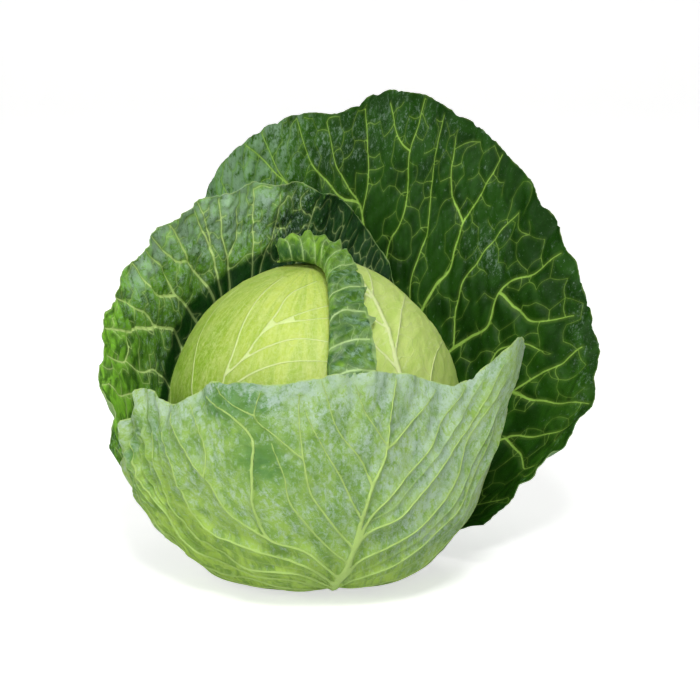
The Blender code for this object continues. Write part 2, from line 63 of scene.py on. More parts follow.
def splineThrough(at, rows, x):
    # smooth curve through rows given at the places `at`, read at x
    at, rows, x = np.asarray(at, float), np.asarray(rows, float), np.asarray(x, float)
    rows = rows.reshape(len(at), -1)
    gap = np.diff(at)
    slope = np.diff(rows, axis=0) / gap[:, None]
    tangent = np.empty_like(rows)
    tangent[0], tangent[-1] = slope[0], slope[-1]
    both = (gap[1:] + gap[:-1])[:, None]
    tangent[1:-1] = (slope[:-1] * gap[1:, None] + slope[1:] * gap[:-1, None]) / both
    i = np.clip(np.searchsorted(at, x) - 1, 0, len(at) - 2)
    h = gap[i][:, None]
    t = ((x - at[i]) / gap[i])[:, None]
    return (
        (2 * t**3 - 3 * t**2 + 1) * rows[i] + (t**3 - 2 * t**2 + t) * h * tangent[i]
        + (3 * t**2 - 2 * t**3) * rows[i + 1] + (t**3 - t**2) * h * tangent[i + 1]
    )


def smoothStep(low, high, x):
    t = np.clip((np.asarray(x, float) - low) / (high - low), 0, 1)
    return t * t * (3 - 2 * t)


def hump(x, middle, reach):
    # 1 at the middle, and almost nothing at twice the reach
    return np.exp(-(((x - middle) / reach) ** 2))


def patch(one, two, a, b, aSize, bSize):
    # a hump over both places of a leaf
    return np.exp(-(((one - a) / aSize) ** 2) - ((two - b) / bSize) ** 2)


def unit(rows):
    return rows / np.linalg.norm(rows, axis=-1)[..., None]


def alongOf(points):
    # how far each point is along its line of points
    return np.concatenate([[0], np.cumsum(np.linalg.norm(np.diff(points, axis=0), axis=-1))])


def headRadii(fromCentre, gap):
    gap = np.asarray(gap, float)
    side = head["radius"] + gap
    upright = np.where(fromCentre[..., 2] > 0, head["above"], head["below"]) + gap
    return np.stack(np.broadcast_arrays(side, side, upright), axis=-1)


def offHead(points, gap, firmness=14):
    # points nearer to the head than gap move out to it
    q = points - head["centre"]
    inside = np.linalg.norm(q / headRadii(q, gap), axis=-1)
    pushed = (inside**firmness + 1) ** (1 / firmness) / np.maximum(inside, 1e-6)
    return head["centre"] + q * pushed[..., None]


def onHead(points, gap):
    q = points - head["centre"]
    return head["centre"] + q / np.linalg.norm(q / headRadii(q, gap), axis=-1)[..., None]


def evenRows(curves, count):
    # each curve resampled evenly along its length
    out, lengths = np.empty((len(curves), count, 3)), []
    for i, curve in enumerate(curves):
        along = alongOf(curve)
        want = np.linspace(0, along[-1], count)
        out[i] = np.stack([np.interp(want, along, curve[:, k]) for k in range(3)], axis=-1)
        lengths.append(along[-1])
    return out, np.array(lengths)


def gridNormals(grid):
    n = np.cross(np.gradient(grid, axis=0), np.gradient(grid, axis=1))
    n = n / np.maximum(np.linalg.norm(n, axis=-1), 1e-9)[..., None]
    outward = np.mean(np.sum(n * (grid - head["centre"]), axis=-1))
    return -n if outward < 0 else n


def readGrid(grid, i, j):
    # the grid read between its rows i and its columns j
    i = np.clip(i, 0, grid.shape[0] - 1.001)
    j = np.clip(j, 0, grid.shape[1] - 1.001)
    a, b = i.astype(int), j.astype(int)
    u, v = (i - a)[..., None], (j - b)[..., None]
    return (
        grid[a, b] * (1 - u) * (1 - v) + grid[a + 1, b] * u * (1 - v)
        + grid[a, b + 1] * (1 - u) * v + grid[a + 1, b + 1] * u * v
    )


def rolling(xy, seed, lengths, amount=1.0, perLength=3):
    # gentle seeded swell over a flat leaf, about -amount to amount: a few plain waves of each length
    rng = random.Random(seed)
    total = np.zeros(len(xy))
    for length in lengths:
        for _ in range(perLength):
            turn, phase = rng.uniform(0, math.pi), rng.uniform(0, 6.28)
            across = xy[:, 0] * math.cos(turn) + xy[:, 1] * math.sin(turn)
            total += np.sin(across * 6.283 / length + phase)
    return amount * total / (1.5 * len(lengths) ** 0.5 * perLength**0.5)


class OpenLeaf:
    # an outer leaf drawn flat as a fan: places are (fan angle, part of the way from stem to margin)
    def __init__(self, leaf):
        self.leaf = leaf
        at = [s[0] for s in leaf["stations"]]
        self.low, self.high = at[0], at[-1]
        self.fan = np.linspace(self.low, self.high, plan["perDegree"] * (self.high - self.low) + 1)
        self.grid, self.length = evenRows(self.rays(at), plan["raySteps"])
        self.normal = gridNormals(self.grid)
        self.arc = alongOf(self.grid[:, -1])
        self.lobe = self.arc[-1] / int(self.arc[-1] / blade["lobe"])

    def rays(self, at):
        # a curved ray for each fan angle, from the stem past the head to the margin
        leaf, angle = self.leaf, self.fan
        shoulder = splineThrough(at, [s[1] for s in leaf["stations"]], angle)
        margin = splineThrough(at, [s[2] for s in leaf["stations"]], angle)
        azimuth = np.radians(leaf["azimuth"] + leaf["hand"] * leaf["spread"] * angle / 90)
        out = np.stack([np.sin(azimuth), -np.cos(azimuth), 0 * azimuth], axis=-1)
        flat, upward = np.array([1, 1, 0]), np.array([0, 0, 1])
        keel = leaf["keel"] * hump(angle, 0, plan["keelReach"])[:, None] * upward
        root = out * plan["stem"] + leaf["rootZ"] * upward
        run = out * leaf["run"][0] + leaf["run"][1] * upward + keel
        run = run + (shoulder - run) * plan["runLean"] * flat
        belly = out * (leaf["belly"][0] + leaf["fuller"] * smoothStep(0, plan["fullBy"], angle)[:, None])
        belly = belly + leaf["belly"][1] * upward + plan["keelLeft"] * keel
        belly = belly + (shoulder - belly) * plan["bellyLean"] * flat
        t = np.linspace(0, 1, 2 * plan["raySteps"] - 1)[None, :, None]
        u = 1 - t
        rays = (
            u**4 * root[:, None] + 4 * u**3 * t * run[:, None] + 6 * u * u * t * t * belly[:, None]
            + 4 * u * t**3 * shoulder[:, None] + t**4 * margin[:, None]
        )
        gap = np.full(rays.shape[:2], leaf["gap"])
        if "rimGap" in leaf:
            middle, half = leaf["foldGap"]
            wider = (leaf["gap"] - leaf["rimGap"]) * np.exp(-(((angle - middle) / half) ** 4))
            gap += smoothStep(0.7, 1, t[..., 0]) * ((leaf["rimGap"] + wider)[:, None] - gap)
        return offHead(rays, gap)

    def reach(self, angle):
        # length of the ray at a fan angle
        return np.interp(angle, self.fan, self.length)

    def flat(self, angle, part):
        angle = np.asarray(angle, float)
        out = plan["foot"] + np.asarray(part, float) * self.reach(angle)
        return np.stack([out * np.sin(np.radians(angle)), out * np.cos(np.radians(angle))], axis=-1)

    def unflat(self, xy):
        angle = np.degrees(np.arctan2(xy[:, 0], xy[:, 1]))
        return angle, (np.hypot(xy[:, 0], xy[:, 1]) - plan["foot"]) / self.reach(angle)

    def place(self, xy):
        # points on the leaf, outward normals, how far each is lifted, and how far it is from the margin
        leaf = self.leaf
        angle, part = self.unflat(xy)
        i, j = (angle - self.low) * plan["perDegree"], part * (plan["raySteps"] - 1)
        points, normals = readGrid(self.grid, i, j), unit(readGrid(self.normal, i, j))
        arc = np.interp(angle, self.fan, self.arc)
        lift = np.zeros(len(points))
        for k, (height, length, start, middle, width) in enumerate(leaf["waves"]):
            near = hump(angle, middle, width) * smoothStep(start, 1.0, part)
            lift += height * near * np.sin(2 * math.pi * arc / length + 1.3 * k)
        toMargin = (1 - part) * self.reach(angle)
        # each lobe of the margin cups a little, and the last few millimetres crinkle
        lobe = np.cos(2 * math.pi * arc / self.lobe)
        lift += leaf["lobeCup"] * lobe * np.exp(-toMargin / blade["lobeWithin"])
        crinkle = np.sin(arc * 1.05 + 2 * np.sin(arc / 11)) * (0.6 + 0.4 * np.sin(arc / 23 + 2))
        lift += leaf["crinkle"] * crinkle * np.exp(-toMargin / blade["crinkleWithin"])
        lift += leaf["swell"] * rolling(xy, leaf["seed"], (70, 38, 24)) * smoothStep(0.15, 0.5, part)
        for *spot, height in leaf.get("dents", ()):
            lift += height * patch(angle, part, *spot)
        # blisters: short swells, each patch with its own strength
        for *spot, height, length in leaf.get("blisters", ()):
            short = rolling(xy, leaf["seed"] + length, (length, length * 0.6))
            lift += height * patch(angle, part, *spot) * short
        return points, normals, lift, toMargin

    def streaks(self, xy):
        # where the streaky marks read their noise: a bigger grain makes them shorter along the rays
        angle, part = self.unflat(xy)
        return np.stack([angle * 1.7, part * self.leaf["grain"]], axis=-1)

    def outline(self, step):
        count = int(self.arc[-1] / step)
        arc = np.linspace(0, self.arc[-1], count + 1)
        angle = np.interp(arc, self.arc, self.fan)
        # a notch between each lobe and the next, no two alike, and finer teeth
        place = arc / self.lobe
        near = np.abs(place - np.round(place)) * 2
        bite = self.leaf["scallop"] * (0.7 + 0.5 * np.sin(np.round(place) * 5.1)) * (1 - near) ** 1.7
        bite += 0.25 * np.sin(arc * 2.3 + np.sin(arc)) + 0.35 * np.sin(arc / 2.9)
        margin = self.flat(angle, 1 - np.maximum(bite, -0.6) / self.reach(angle))
        base = self.flat(np.linspace(self.low, self.high, int((self.high - self.low) / 8)), 0)
        sides = []
        for end in (self.low, self.high):
            steps = int(self.reach(end) / step)
            sides.append(self.flat(np.full(steps - 1, end), np.arange(1, steps) / steps))
        return np.concatenate([base, sides[1], margin[::-1], sides[0][::-1]])


class WrapperLeaf:
    # the leaf that lies on the heart: flat, x runs across from the fold and y runs up the fold
    def __init__(self, leaf):
        self.leaf = leaf
        self.up = np.linspace(0, 1, 361)
        at = np.linspace(0, 1, len(leaf["stations"]))
        columns = zip(*leaf["stations"])
        fold, far, turned, roll = (splineThrough(at, column, self.up) for column in columns)
        fold, far = onHead(fold, leaf["gap"]), onHead(far, leaf["gap"])
        self.turned, self.roll = turned[:, 0], roll[:, 0]
        # the shortest way over the head from the fold to the far margin
        a, b = unit(fold - head["centre"]), unit(far - head["centre"])
        angle = np.arccos(np.clip(np.sum(a * b, axis=-1), -1, 1))[:, None, None]
        t = np.linspace(0, 1, 241)[None, :, None]
        way = (np.sin((1 - t) * angle) * a[:, None] + np.sin(t * angle) * b[:, None]) / np.sin(angle)
        over = onHead(head["centre"] + way * nearHead, leaf["gap"])
        self.grid, self.length = evenRows(over, plan["raySteps"])
        self.normal = gridNormals(self.grid)
        self.height = np.linalg.norm(np.diff(fold, axis=0), axis=-1).sum()

    def flat(self, up, across):
        up, across = np.broadcast_arrays(np.asarray(up, float), np.asarray(across, float))
        turned, length = np.interp(up, self.up, self.turned), np.interp(up, self.up, self.length)
        return np.stack([across * np.where(across < 0, turned, length), up * self.height], axis=-1)

    def unflat(self, xy):
        return xy[:, 1] / self.height, xy[:, 0]

    def streaks(self, xy):
        return np.stack([xy[:, 1] - 0.7 * xy[:, 0], xy[:, 0] * 0.4], axis=-1)

    def place(self, xy):
        leaf = self.leaf
        up = np.clip(xy[:, 1] / self.height, 0, 1)
        wrap = (self.length, self.roll, self.turned)
        length, roll, turned = (np.interp(up, self.up, rows) for rows in wrap)
        past = np.maximum(-xy[:, 0], 0)
        over = np.maximum(past - math.pi * roll, 0)
        turn = np.minimum(past / roll, math.pi)
        i = up * (len(self.up) - 1)
        j = np.where(xy[:, 0] >= 0, xy[:, 0], over) / length * (plan["raySteps"] - 1)
        points, normals = readGrid(self.grid, i, j), unit(readGrid(self.normal, i, j))
        along = unit(readGrid(self.grid, i, j + 2) - readGrid(self.grid, i, np.maximum(j - 2, 0)))
        # the collar at the top is ruffled towards its margin
        ruffle = smoothStep(0.25, 1, past / turned) * smoothStep(0.55, 0.9, up)
        y = up * self.height
        lift = roll * (1 - np.cos(turn)) + leaf["ruffle"] * ruffle * np.sin(y / 2.7 + 0.8 * np.sin(y / 9))
        lift += leaf["fineRuffle"] * ruffle * np.sin(y / 1.05 + 1.5 * np.sin(y / 9))
        lift += smoothStep(0, 8, over) * (0.5 + 0.5 * np.sin(y / 6.0))
        # close pleats run across the turned part
        pleat = np.sin((y + 0.12 * over) / 2.35 + 1.6 * np.sin(y / 8.3))
        pleat = pleat + 0.35 * np.sin((y - 0.3 * over) / 1.2 + 2)
        height = leaf["pleat"] * smoothStep(0.5, 2.2, turn) * smoothStep(0.2, 0.32, up)
        lift += height * smoothStep(0.95, 0.75, up) * pleat
        # and the flat part is a little wrinkled
        lift += smoothStep(4, 14, xy[:, 0]) * rolling(xy, leaf["seed"], (24, 13, 8), leaf["wrinkle"])
        base = points + normals * lift[:, None] - along * (roll * np.sin(turn))[:, None]
        # past the roll the blade's own outward side has turned over
        side = normals * np.cos(turn)[:, None] + along * np.sin(turn)[:, None]
        toMargin = np.where(xy[:, 0] < 0, turned - past, length - xy[:, 0])
        return base, side, np.zeros(len(xy)), toMargin

    def outline(self, step):
        steps = int(self.height / step)
        up = np.arange(1, steps) / steps
        turned = np.interp(up, self.up, self.turned)
        # the turned margin is ragged, with finer teeth below the collar and a few lobes of its own
        ragged = self.leaf["ragged"] * np.sin(up * 61) * np.sin(up * 23 + 1)
        teeth = 0.35 * np.sin(up * 190 + 4 * np.sin(up * 31)) + 0.15 * np.sin(up * 520)
        ragged += smoothStep(0.95, 0.7, up) * teeth
        for place, size, out in self.leaf["lobes"]:
            ragged -= out * hump(up, place, size)
        left = self.flat(up, -1 + np.clip(ragged / turned, -0.4, 0.4) * smoothStep(0.1, 0.3, up))
        right = self.flat(up, 1 - 0.01 * (1 + np.sin(up * 70)))
        low = self.flat(0, np.linspace(0, 1, 12))
        high = np.concatenate([self.flat(1, np.linspace(1, 0, 6)), self.flat(1, np.linspace(-0.25, -1, 4))])
        return np.concatenate([self.flat(0, -1)[None], low, right, high, left[::-1]])


def curveAlong(way, step):
    # a smooth curve through the corners of a vein's route, with points about `step` apart
    way = np.asarray(way, float)
    lengths = alongOf(way)
    at = np.linspace(0, 1, max(2, int(round(lengths[-1] / step))) + 1)
    if len(way) == 2:
        return way[:1] + (way[1:] - way[:1]) * at[:, None]
    return splineThrough(lengths / lengths[-1], way, at)


def inside(outline, points):
    found = np.zeros(len(points), bool)
    x, y = points[:, 0], points[:, 1]
    for (ax, ay), (bx, by) in zip(outline, np.roll(outline, -1, axis=0)):
        crosses = (ay > y) != (by > y)
        found ^= crosses & (x < ax + (y - ay) * (bx - ax) / (1 if by == ay else by - ay))
    return found


class VeinField:
    # many short straight pieces of vein, each with a half width and a tone at both ends
    def __init__(self, size=2, reach=10.0):
        self.size, self.reach, self.rows = size, reach, []

    def add(self, curve, halfWidths, tones):
        for k in range(len(curve) - 1):
            self.rows.append((*curve[k], *curve[k + 1], *halfWidths[k:k + 2], *tones[k:k + 2]))

    def near(self, points, creaseReach=1.0):
        # distance to a vein's middle, distance to its edge, its tone, the crease beside it, the rib's rise
        rows, d, reach = np.array(self.rows), self.size, self.reach
        bins = {}
        low = np.floor((np.minimum(rows[:, :d], rows[:, d:2 * d]) - reach) / reach).astype(int)
        high = np.floor((np.maximum(rows[:, :d], rows[:, d:2 * d]) + reach) / reach).astype(int)
        for k in range(len(rows)):
            for spot in np.ndindex(*(high[k] - low[k] + 1)):
                bins.setdefault(tuple((low[k] + spot).tolist()), []).append(k)
        result = np.zeros((len(points), 5))
        result[:, 0:2] = reach
        cell = np.floor(points / reach).astype(int)
        order = np.lexsort(cell.T[::-1])
        breaks = np.flatnonzero(np.any(np.diff(cell[order], axis=0) != 0, axis=1)) + 1
        for group in np.split(order, breaks):
            picked = bins.get(tuple(cell[group[0]].tolist()))
            if picked is None:
                continue
            r = rows[picked]
            p = points[group][:, None]
            a, ab = r[None, :, :d], (r[:, d:2 * d] - r[:, :d])[None]
            t = np.clip(np.sum((p - a) * ab, axis=-1) / np.maximum(np.sum(ab * ab, axis=-1), 1e-9), 0, 1)
            away = np.linalg.norm(p - a - ab * t[..., None], axis=-1)
            wide = r[None, :, 2 * d] * (1 - t) + r[None, :, 2 * d + 1] * t
            tone = r[None, :, 2 * d + 2] * (1 - t) + r[None, :, 2 * d + 3] * t
            best = np.argmin(away - wide, axis=1)
            row = np.arange(len(group))
            result[group, 0] = away.min(axis=1)
            result[group, 1] = (away - wide)[row, best]
            result[group, 2] = tone[row, best]
            spread = creaseReach * (1.2 + 2.6 * np.sqrt(wide))
            crest = 0.55 * hump(away, 0, spread) + 0.45 * np.exp(-away / (0.7 * spread))
            result[group, 3] = np.max(np.minimum(wide / 0.8, 1) * crest, axis=1)
            crown = np.sqrt(np.maximum(1 - (away / (1.25 * wide + 0.7)) ** 2, 0))
            result[group, 4] = np.max(np.maximum(wide - 0.3, 0) * crown, axis=1)
        return result

    def nearestSpot(self, point):
        rows = np.array(self.rows)
        start, ab = rows[:, 0:2], rows[:, 2:4] - rows[:, 0:2]
        t = np.sum((point - start) * ab, axis=1) / np.maximum(np.sum(ab * ab, axis=1), 1e-9)
        spots = start + ab * np.clip(t, 0, 1)[:, None]
        return spots[np.argmin(np.sum((spots - point) ** 2, axis=1))]


def between(first, second, share):
    # a route part of the way from one route to another
    at = np.linspace(0, 1, 7)
    rows = [splineThrough(np.linspace(0, 1, len(r)), r, at) for r in (first, second)]
    return rows[0] * (1 - share) + rows[1] * share


def scattered(low, high, size, jitter, rng):
    # points in offset rows over a box, about `size` apart and each a little out of place
    return [
        (x + (size / 2 if row % 2 else 0) + rng.uniform(-jitter, jitter) * size,
         y + rng.uniform(-jitter, jitter) * size)
        for row, y in enumerate(np.arange(low[1], high[1], size * 0.866))
        for x in np.arange(low[0], high[0], size)
    ]


def triangulate(points, links, kind, nearness=1e-4):
    verts, _, faces, _, _, _ = delaunay_2d_cdt(points, links, [], kind, nearness)
    return np.array([tuple(v) for v in verts]), np.array(faces)


def netLinks(outline, cell, rng):
    # the corners of a net of cells over the leaf, and the links between them
    seeds = scattered(outline.min(axis=0) - cell, outline.max(axis=0) + cell, cell, 0.36, rng)
    flat, tris = triangulate(seeds, [], 0)
    nodes = flat[tris].mean(axis=1)
    sides = {}
    for k, tri in enumerate(tris.tolist()):
        for m in range(3):
            sides.setdefault(tuple(sorted((tri[m], tri[(m + 1) % 3]))), []).append(k)
    usable = inside(outline, nodes)
    return nodes, [pair for pair in sides.values() if len(pair) == 2 and usable[pair[0]] and usable[pair[1]]]


def shortestWays(nodes, links, toGuide, reach):
    # for each corner the next one on its shortest way to a main vein, and how much of the net hangs on it
    beside = {}
    for a, b in links:
        gap = float(np.linalg.norm(nodes[a] - nodes[b]))
        beside.setdefault(a, []).append((b, gap))
        beside.setdefault(b, []).append((a, gap))
    cost = {k: float(toGuide[k]) for k in beside if toGuide[k] < reach}
    parent, done = {}, set()
    queue = sorted((c, k) for k, c in cost.items())
    while queue:
        c, k = heapq.heappop(queue)
        if k in done:
            continue
        done.add(k)
        for other, gap in beside[k]:
            if other not in done and c + gap < cost.get(other, math.inf):
                cost[other], parent[other] = c + gap, k
                heapq.heappush(queue, (c + gap, other))
    flow = {k: 1.0 for k in done}
    for k in sorted(done, key=lambda k: -cost[k]):
        if k in parent:
            flow[parent[k]] += flow[k]
    return parent, flow


def growNet(outline, guides, settings, rng):
    # smaller veins whose links lead back to the main veins, wider where more of the net hangs on them
    cell = settings["cell"]
    nodes, links = netLinks(outline, cell, rng)
    toGuide = guides.near(nodes)[:, 0]
    parent, flow = shortestWays(nodes, links, toGuide, 0.62 * cell)

    def sized(hangs):
        size = min(settings["thin"] * hangs ** settings["grow"], settings["thick"])
        return size, settings["tone"] * min(1.0, 0.55 + 0.12 * hangs)

    net, linked = [], set()
    tree = {tuple(sorted((k, p))): k for k, p in parent.items()}
    for a, b in links:
        if a not in flow or b not in flow or (toGuide[a] < 1.6 and toGuide[b] < 1.6):
            continue
        child = tree.get(tuple(sorted((a, b))))
        if child is None and rng.random() < settings["open"]:
            continue
        closing = (min(settings["thin"] * 0.75, settings["thick"]), settings["tone"] * 0.5)
        net.append((nodes[a], nodes[b], *(closing if child is None else sized(flow[child]))))
        linked.update((a, b))
    # the ends of the net are tied to the main veins, well apart
    used = []
    for k in sorted(flow, key=lambda k: -flow[k]):
        if k not in parent and k in linked and toGuide[k] > 0.8:
            spot = guides.nearestSpot(nodes[k])
            if all(np.linalg.norm(spot - other) >= 0.3 * cell for other in used):
                used.append(spot)
                net.append((nodes[k], spot, *sized(flow[k])))
    return net


def sidesOf(faces):
    return np.concatenate([faces[:, [0, 1]], faces[:, [1, 2]], faces[:, [2, 0]]])


def boundary(faces):
    # directed edges that only one triangle has
    ends = sidesOf(faces).tolist()
    have = set(map(tuple, ends))
    return np.array([e for e in ends if (e[1], e[0]) not in have])


def facingOut(points, faces, outward):
    # the triangles, turned over if they face inwards
    a, b, c = (points[faces[:, k]] for k in range(3))
    return faces[:, ::-1] if np.sum(np.cross(b - a, c - a) * outward[faces[:, 0]]) < 0 else faces


def addObject(name, data):
    obj = bpy.data.objects.new(name, data)
    bpy.context.scene.collection.objects.link(obj)
    return obj


def meshOf(name, points, faces, materialIndex, materials, marks, sharpFrom=62):
    # a mesh in metres from points in millimetres, its faces' materials and its named marks
    mesh = bpy.data.meshes.new(name)
    mesh.vertices.add(len(points))
    mesh.vertices.foreach_set("co", (points * mm).astype(np.float32).ravel())
    sizes = np.array([len(f) for f in faces])
    mesh.loops.add(int(sizes.sum()))
    mesh.loops.foreach_set("vertex_index", np.concatenate([np.asarray(f) for f in faces]).astype(np.int32))
    mesh.polygons.add(len(faces))
    mesh.polygons.foreach_set("loop_start", np.concatenate([[0], np.cumsum(sizes)[:-1]]).astype(np.int32))
    mesh.polygons.foreach_set("material_index", np.asarray(materialIndex, np.int32))
    mesh.update(calc_edges=True)
    mesh.validate()
    mesh.shade_smooth()
    mesh.set_sharp_from_angle(angle=math.radians(sharpFrom))
    for made in materials:
        mesh.materials.append(made)
    for key, values in marks.items():
        kind, field = ("FLOAT_VECTOR", "vector") if values.ndim == 2 else ("FLOAT", "value")
        mark = mesh.attributes.new(key, kind, "POINT")
        mark.data.foreach_set(field, values.astype(np.float32).ravel())
    print(name, "grown:", len(mesh.polygons), "faces")
    return addObject(name, mesh)


def leafVeins(sheet, outline):
    # main veins as listed, the net between them grown, and the points that the mesh keeps along them
    leaf = sheet.leaf
    rng = random.Random(leaf["seed"])
    guides, curves = VeinField(), []
    for wideRoot, wideTip, route, *faint in leaf["veins"]:
        curve = curveAlong(sheet.flat(*np.array(route, float).T), meshing["step"])
        # one warp for every vein of the leaf: they wander, and still meet where they met
        wander = [rolling(curve, leaf["seed"] + k, veining["lengths"]) for k in (31, 47)]
        out = np.hypot(curve[:, 0], curve[:, 1]) - plan["foot"]
        free = smoothStep(veining["freeFrom"], veining["freeBy"], out)
        curve = curve + np.stack(wander, axis=-1) * (leaf["wander"] * free)[:, None]
        # a side vein starts on the vein that it leaves
        if guides.rows:
            gap = guides.nearestSpot(curve[0]) - curve[0]
            if np.hypot(*gap) < veining["snapWithin"]:
                run = np.linalg.norm(curve - curve[0], axis=-1)
                curve = curve + gap * np.exp(-run / veining["snapFade"])[:, None]
        wide = wideTip + (wideRoot - wideTip) * (1 - np.linspace(0, 1, len(curve)))
        guides.add(curve, wide, np.clip(0.75 + 0.3 * wide, 0, 1) * (faint[0] if faint else 1))
        curves.append(curve)
    veins = VeinField()
    veins.rows = list(guides.rows)
    for a, b, size, tone in growNet(outline, guides, leaf["net"], rng):
        bend = (b - a)[::-1] * np.array([-1, 1]) * rng.uniform(-veining["bend"], veining["bend"])
        curve = curveAlong([a, (a + b) / 2 + bend, b], meshing["step"])
        veins.add(curve, np.full(len(curve), size), np.full(len(curve), tone))
        curves.append(curve)
    return veins, curves


def flatMesh(outline, curves, veins, rng):
    # triangles over the flat leaf, with rows of points kept along every vein
    edge = VeinField(reach=6)
    loop = np.concatenate([outline, outline[:1]])
    edge.add(loop, np.zeros(len(loop)), np.zeros(len(loop)))
    links = [(k, (k + 1) % len(outline)) for k in range(len(outline))]
    rows = np.concatenate(curves)
    kept = inside(outline, rows) & (edge.near(rows)[:, 0] > meshing["veinToEdge"])
    index = np.cumsum(kept) - 1 + len(outline)
    ends = np.cumsum([len(curve) for curve in curves])
    joined = kept[:-1] & kept[1:]
    joined[ends[:-1] - 1] = False
    links += [(int(index[k]), int(index[k + 1])) for k in np.flatnonzero(joined)]
    step = meshing["step"]
    fill = np.array(scattered(outline.min(axis=0), outline.max(axis=0), step, meshing["jitter"], rng))
    clear = edge.near(fill)[:, 0] > meshing["fillToEdge"] * step
    fill = fill[clear & (veins.near(fill)[:, 0] > meshing["fillToVein"] * step)]
    points = [outline, rows[kept], fill[inside(outline, fill)]]
    # twice, where two veins lie close, the ground between them gets points of its own
    for _ in range(2):
        verts, faces = triangulate(np.concatenate(points).tolist(), links, 1)
        sides = np.unique(np.sort(sidesOf(faces), axis=1), axis=0)
        onVein = veins.near(verts)[:, 1] < meshing["onVein"]
        sides = sides[onVein[sides].all(axis=1)]
        long = np.linalg.norm(verts[sides[:, 0]] - verts[sides[:, 1]], axis=1) > meshing["longSide"]
        middle = verts[sides[long]].mean(axis=1)
        points.append(middle[veins.near(middle)[:, 1] > meshing["offVein"]])
    return triangulate(np.concatenate(points).tolist(), links, 1)


def tints(sheet, xy, withPaintedShade):
    # how deep the green is and how much bloom lies on it, from the leaf's base values and its patches, and,
    # where asked, the painted shade beside the heart
    leaf = sheet.leaf
    one, two = sheet.unflat(xy)
    found = {}
    # the patches are uneven themselves
    uneven = 1 + 0.55 * rolling(xy, leaf["seed"] + 7, (13, 7, 4))
    for key, paintedShade in (("deep", 1.0), ("bloom", -0.7)):
        base, rows = leaf[key]
        total = np.full(len(xy), float(base))
        for *spot, amount in rows:
            total += amount * uneven * patch(one, two, *spot)
        # painted shade: a band along the crevice beside the heart is painted dark, with less bloom in it
        if withPaintedShade:
            line = np.array(leaf["paintedShade"])
            away = np.abs(two - np.interp(one, line[:, 0], line[:, 1]))
            total += paintedShade * (1 - smoothStep(0.01, 0.06, away))
        found[key] = np.clip(total, 0, 1)
    return found


def growLeaf(name, sheet, materials):
    leaf = sheet.leaf
    outline = sheet.outline(meshing["step"] * 0.8)
    veins, curves = leafVeins(sheet, outline)
    xy, faces = flatMesh(outline, curves, veins, random.Random(leaf["seed"] + 1))
    field = veins.near(xy, leaf["creaseReach"])
    base, normal, lift, toMargin = sheet.place(xy)
    pleat = np.ones(len(xy))
    for *spot, amount in leaf.get("pleats", ()):
        pleat += amount * patch(*sheet.unflat(xy), *spot)
    lift = lift + leaf["crease"] * field[:, 3] * pleat * (0.35 + 0.65 * smoothStep(0, 8, toMargin))
    innerSide = base + normal * lift[:, None]
    thick = blade["thickness"] - blade["thinner"] * np.exp(-toMargin / blade["thinnerWithin"])
    thick = thick + leaf["ribRise"] * field[:, 4]
    outerSide = innerSide + normal * thick[:, None]
    # the lowest folds lie on the floor
    clear = outerSide[:, 2] - 0.5
    raised = 0.5 * (np.sqrt(clear**2 + 1.0) - clear)
    innerSide[:, 2] += raised
    outerSide[:, 2] += raised
    faces = facingOut(innerSide, faces, normal)
    count = len(xy)
    edge = boundary(faces)
    rim = np.stack([edge[:, 1] + count, edge[:, 0] + count, edge[:, 0], edge[:, 1]], axis=1)
    allFaces = faces[:, ::-1].tolist() + (faces + count).tolist() + rim.tolist()
    index = [0] * len(faces) + [1] * (len(faces) + len(rim))
    seeds = np.full((count, 1), leaf["seed"] * 37.0)
    upper = dict(veinEdge=field[:, 1], veinTone=field[:, 2], toMargin=toMargin,
                 leafFlat=np.concatenate([xy, seeds], axis=1),
                 leafRay=np.concatenate([sheet.streaks(xy), seeds], axis=1))
    under = upper | tints(sheet, xy, False)
    # only the upper side, which comes first, gets the painted shade beside the heart, and its veins are
    # dimmer where it is painted darkest
    upper |= tints(sheet, xy, "paintedShade" in leaf)
    if "paintedShade" in leaf:
        upper["veinTone"] = upper["veinTone"] * (1 - 0.65 * smoothStep(0.8, 1.0, upper["deep"]))
    marks = {key: np.concatenate([upper[key], under[key]]) for key in upper}
    return meshOf(name, np.concatenate([innerSide, outerSide]), allFaces, index, materials, marks)


def addNode(tree, kind, **values):
    node = tree.nodes.new(kind)
    for key, value in values.items():
        setattr(node, key, value)
    return node


def feed(tree, socket, value):
    # a number or a colour sets the socket, another socket is linked to it
    if isinstance(value, bpy.types.NodeSocket):
        tree.links.new(value, socket)
    else:
        socket.default_value = (*value, 1) if socket.type == "RGBA" else value


def calc(tree, operation, *values):
    node = addNode(tree, "ShaderNodeMath", operation=operation)
    for socket, value in zip(node.inputs, values):
        feed(tree, socket, value)
    return node.outputs[0]


def times(tree, first, *others):
    for other in others:
        first = calc(tree, "MULTIPLY", first, other)
    return first


def ramp(tree, value, low, high, to=(0.0, 1.0), kind="SMOOTHSTEP"):
    node = addNode(tree, "ShaderNodeMapRange", interpolation_type=kind)
    for socket, given in zip(node.inputs, (value, low, high, *to)):
        feed(tree, socket, given)
    return node.outputs[0]


def blend(tree, share, first, second):
    node = addNode(tree, "ShaderNodeMix", data_type="RGBA")
    for index, given in ((0, share), (6, first), (7, second)):
        feed(tree, node.inputs[index], given)
    return node.outputs[2]


def marked(tree, name, output="Fac"):
    return addNode(tree, "ShaderNodeAttribute", attribute_name=name).outputs[output]


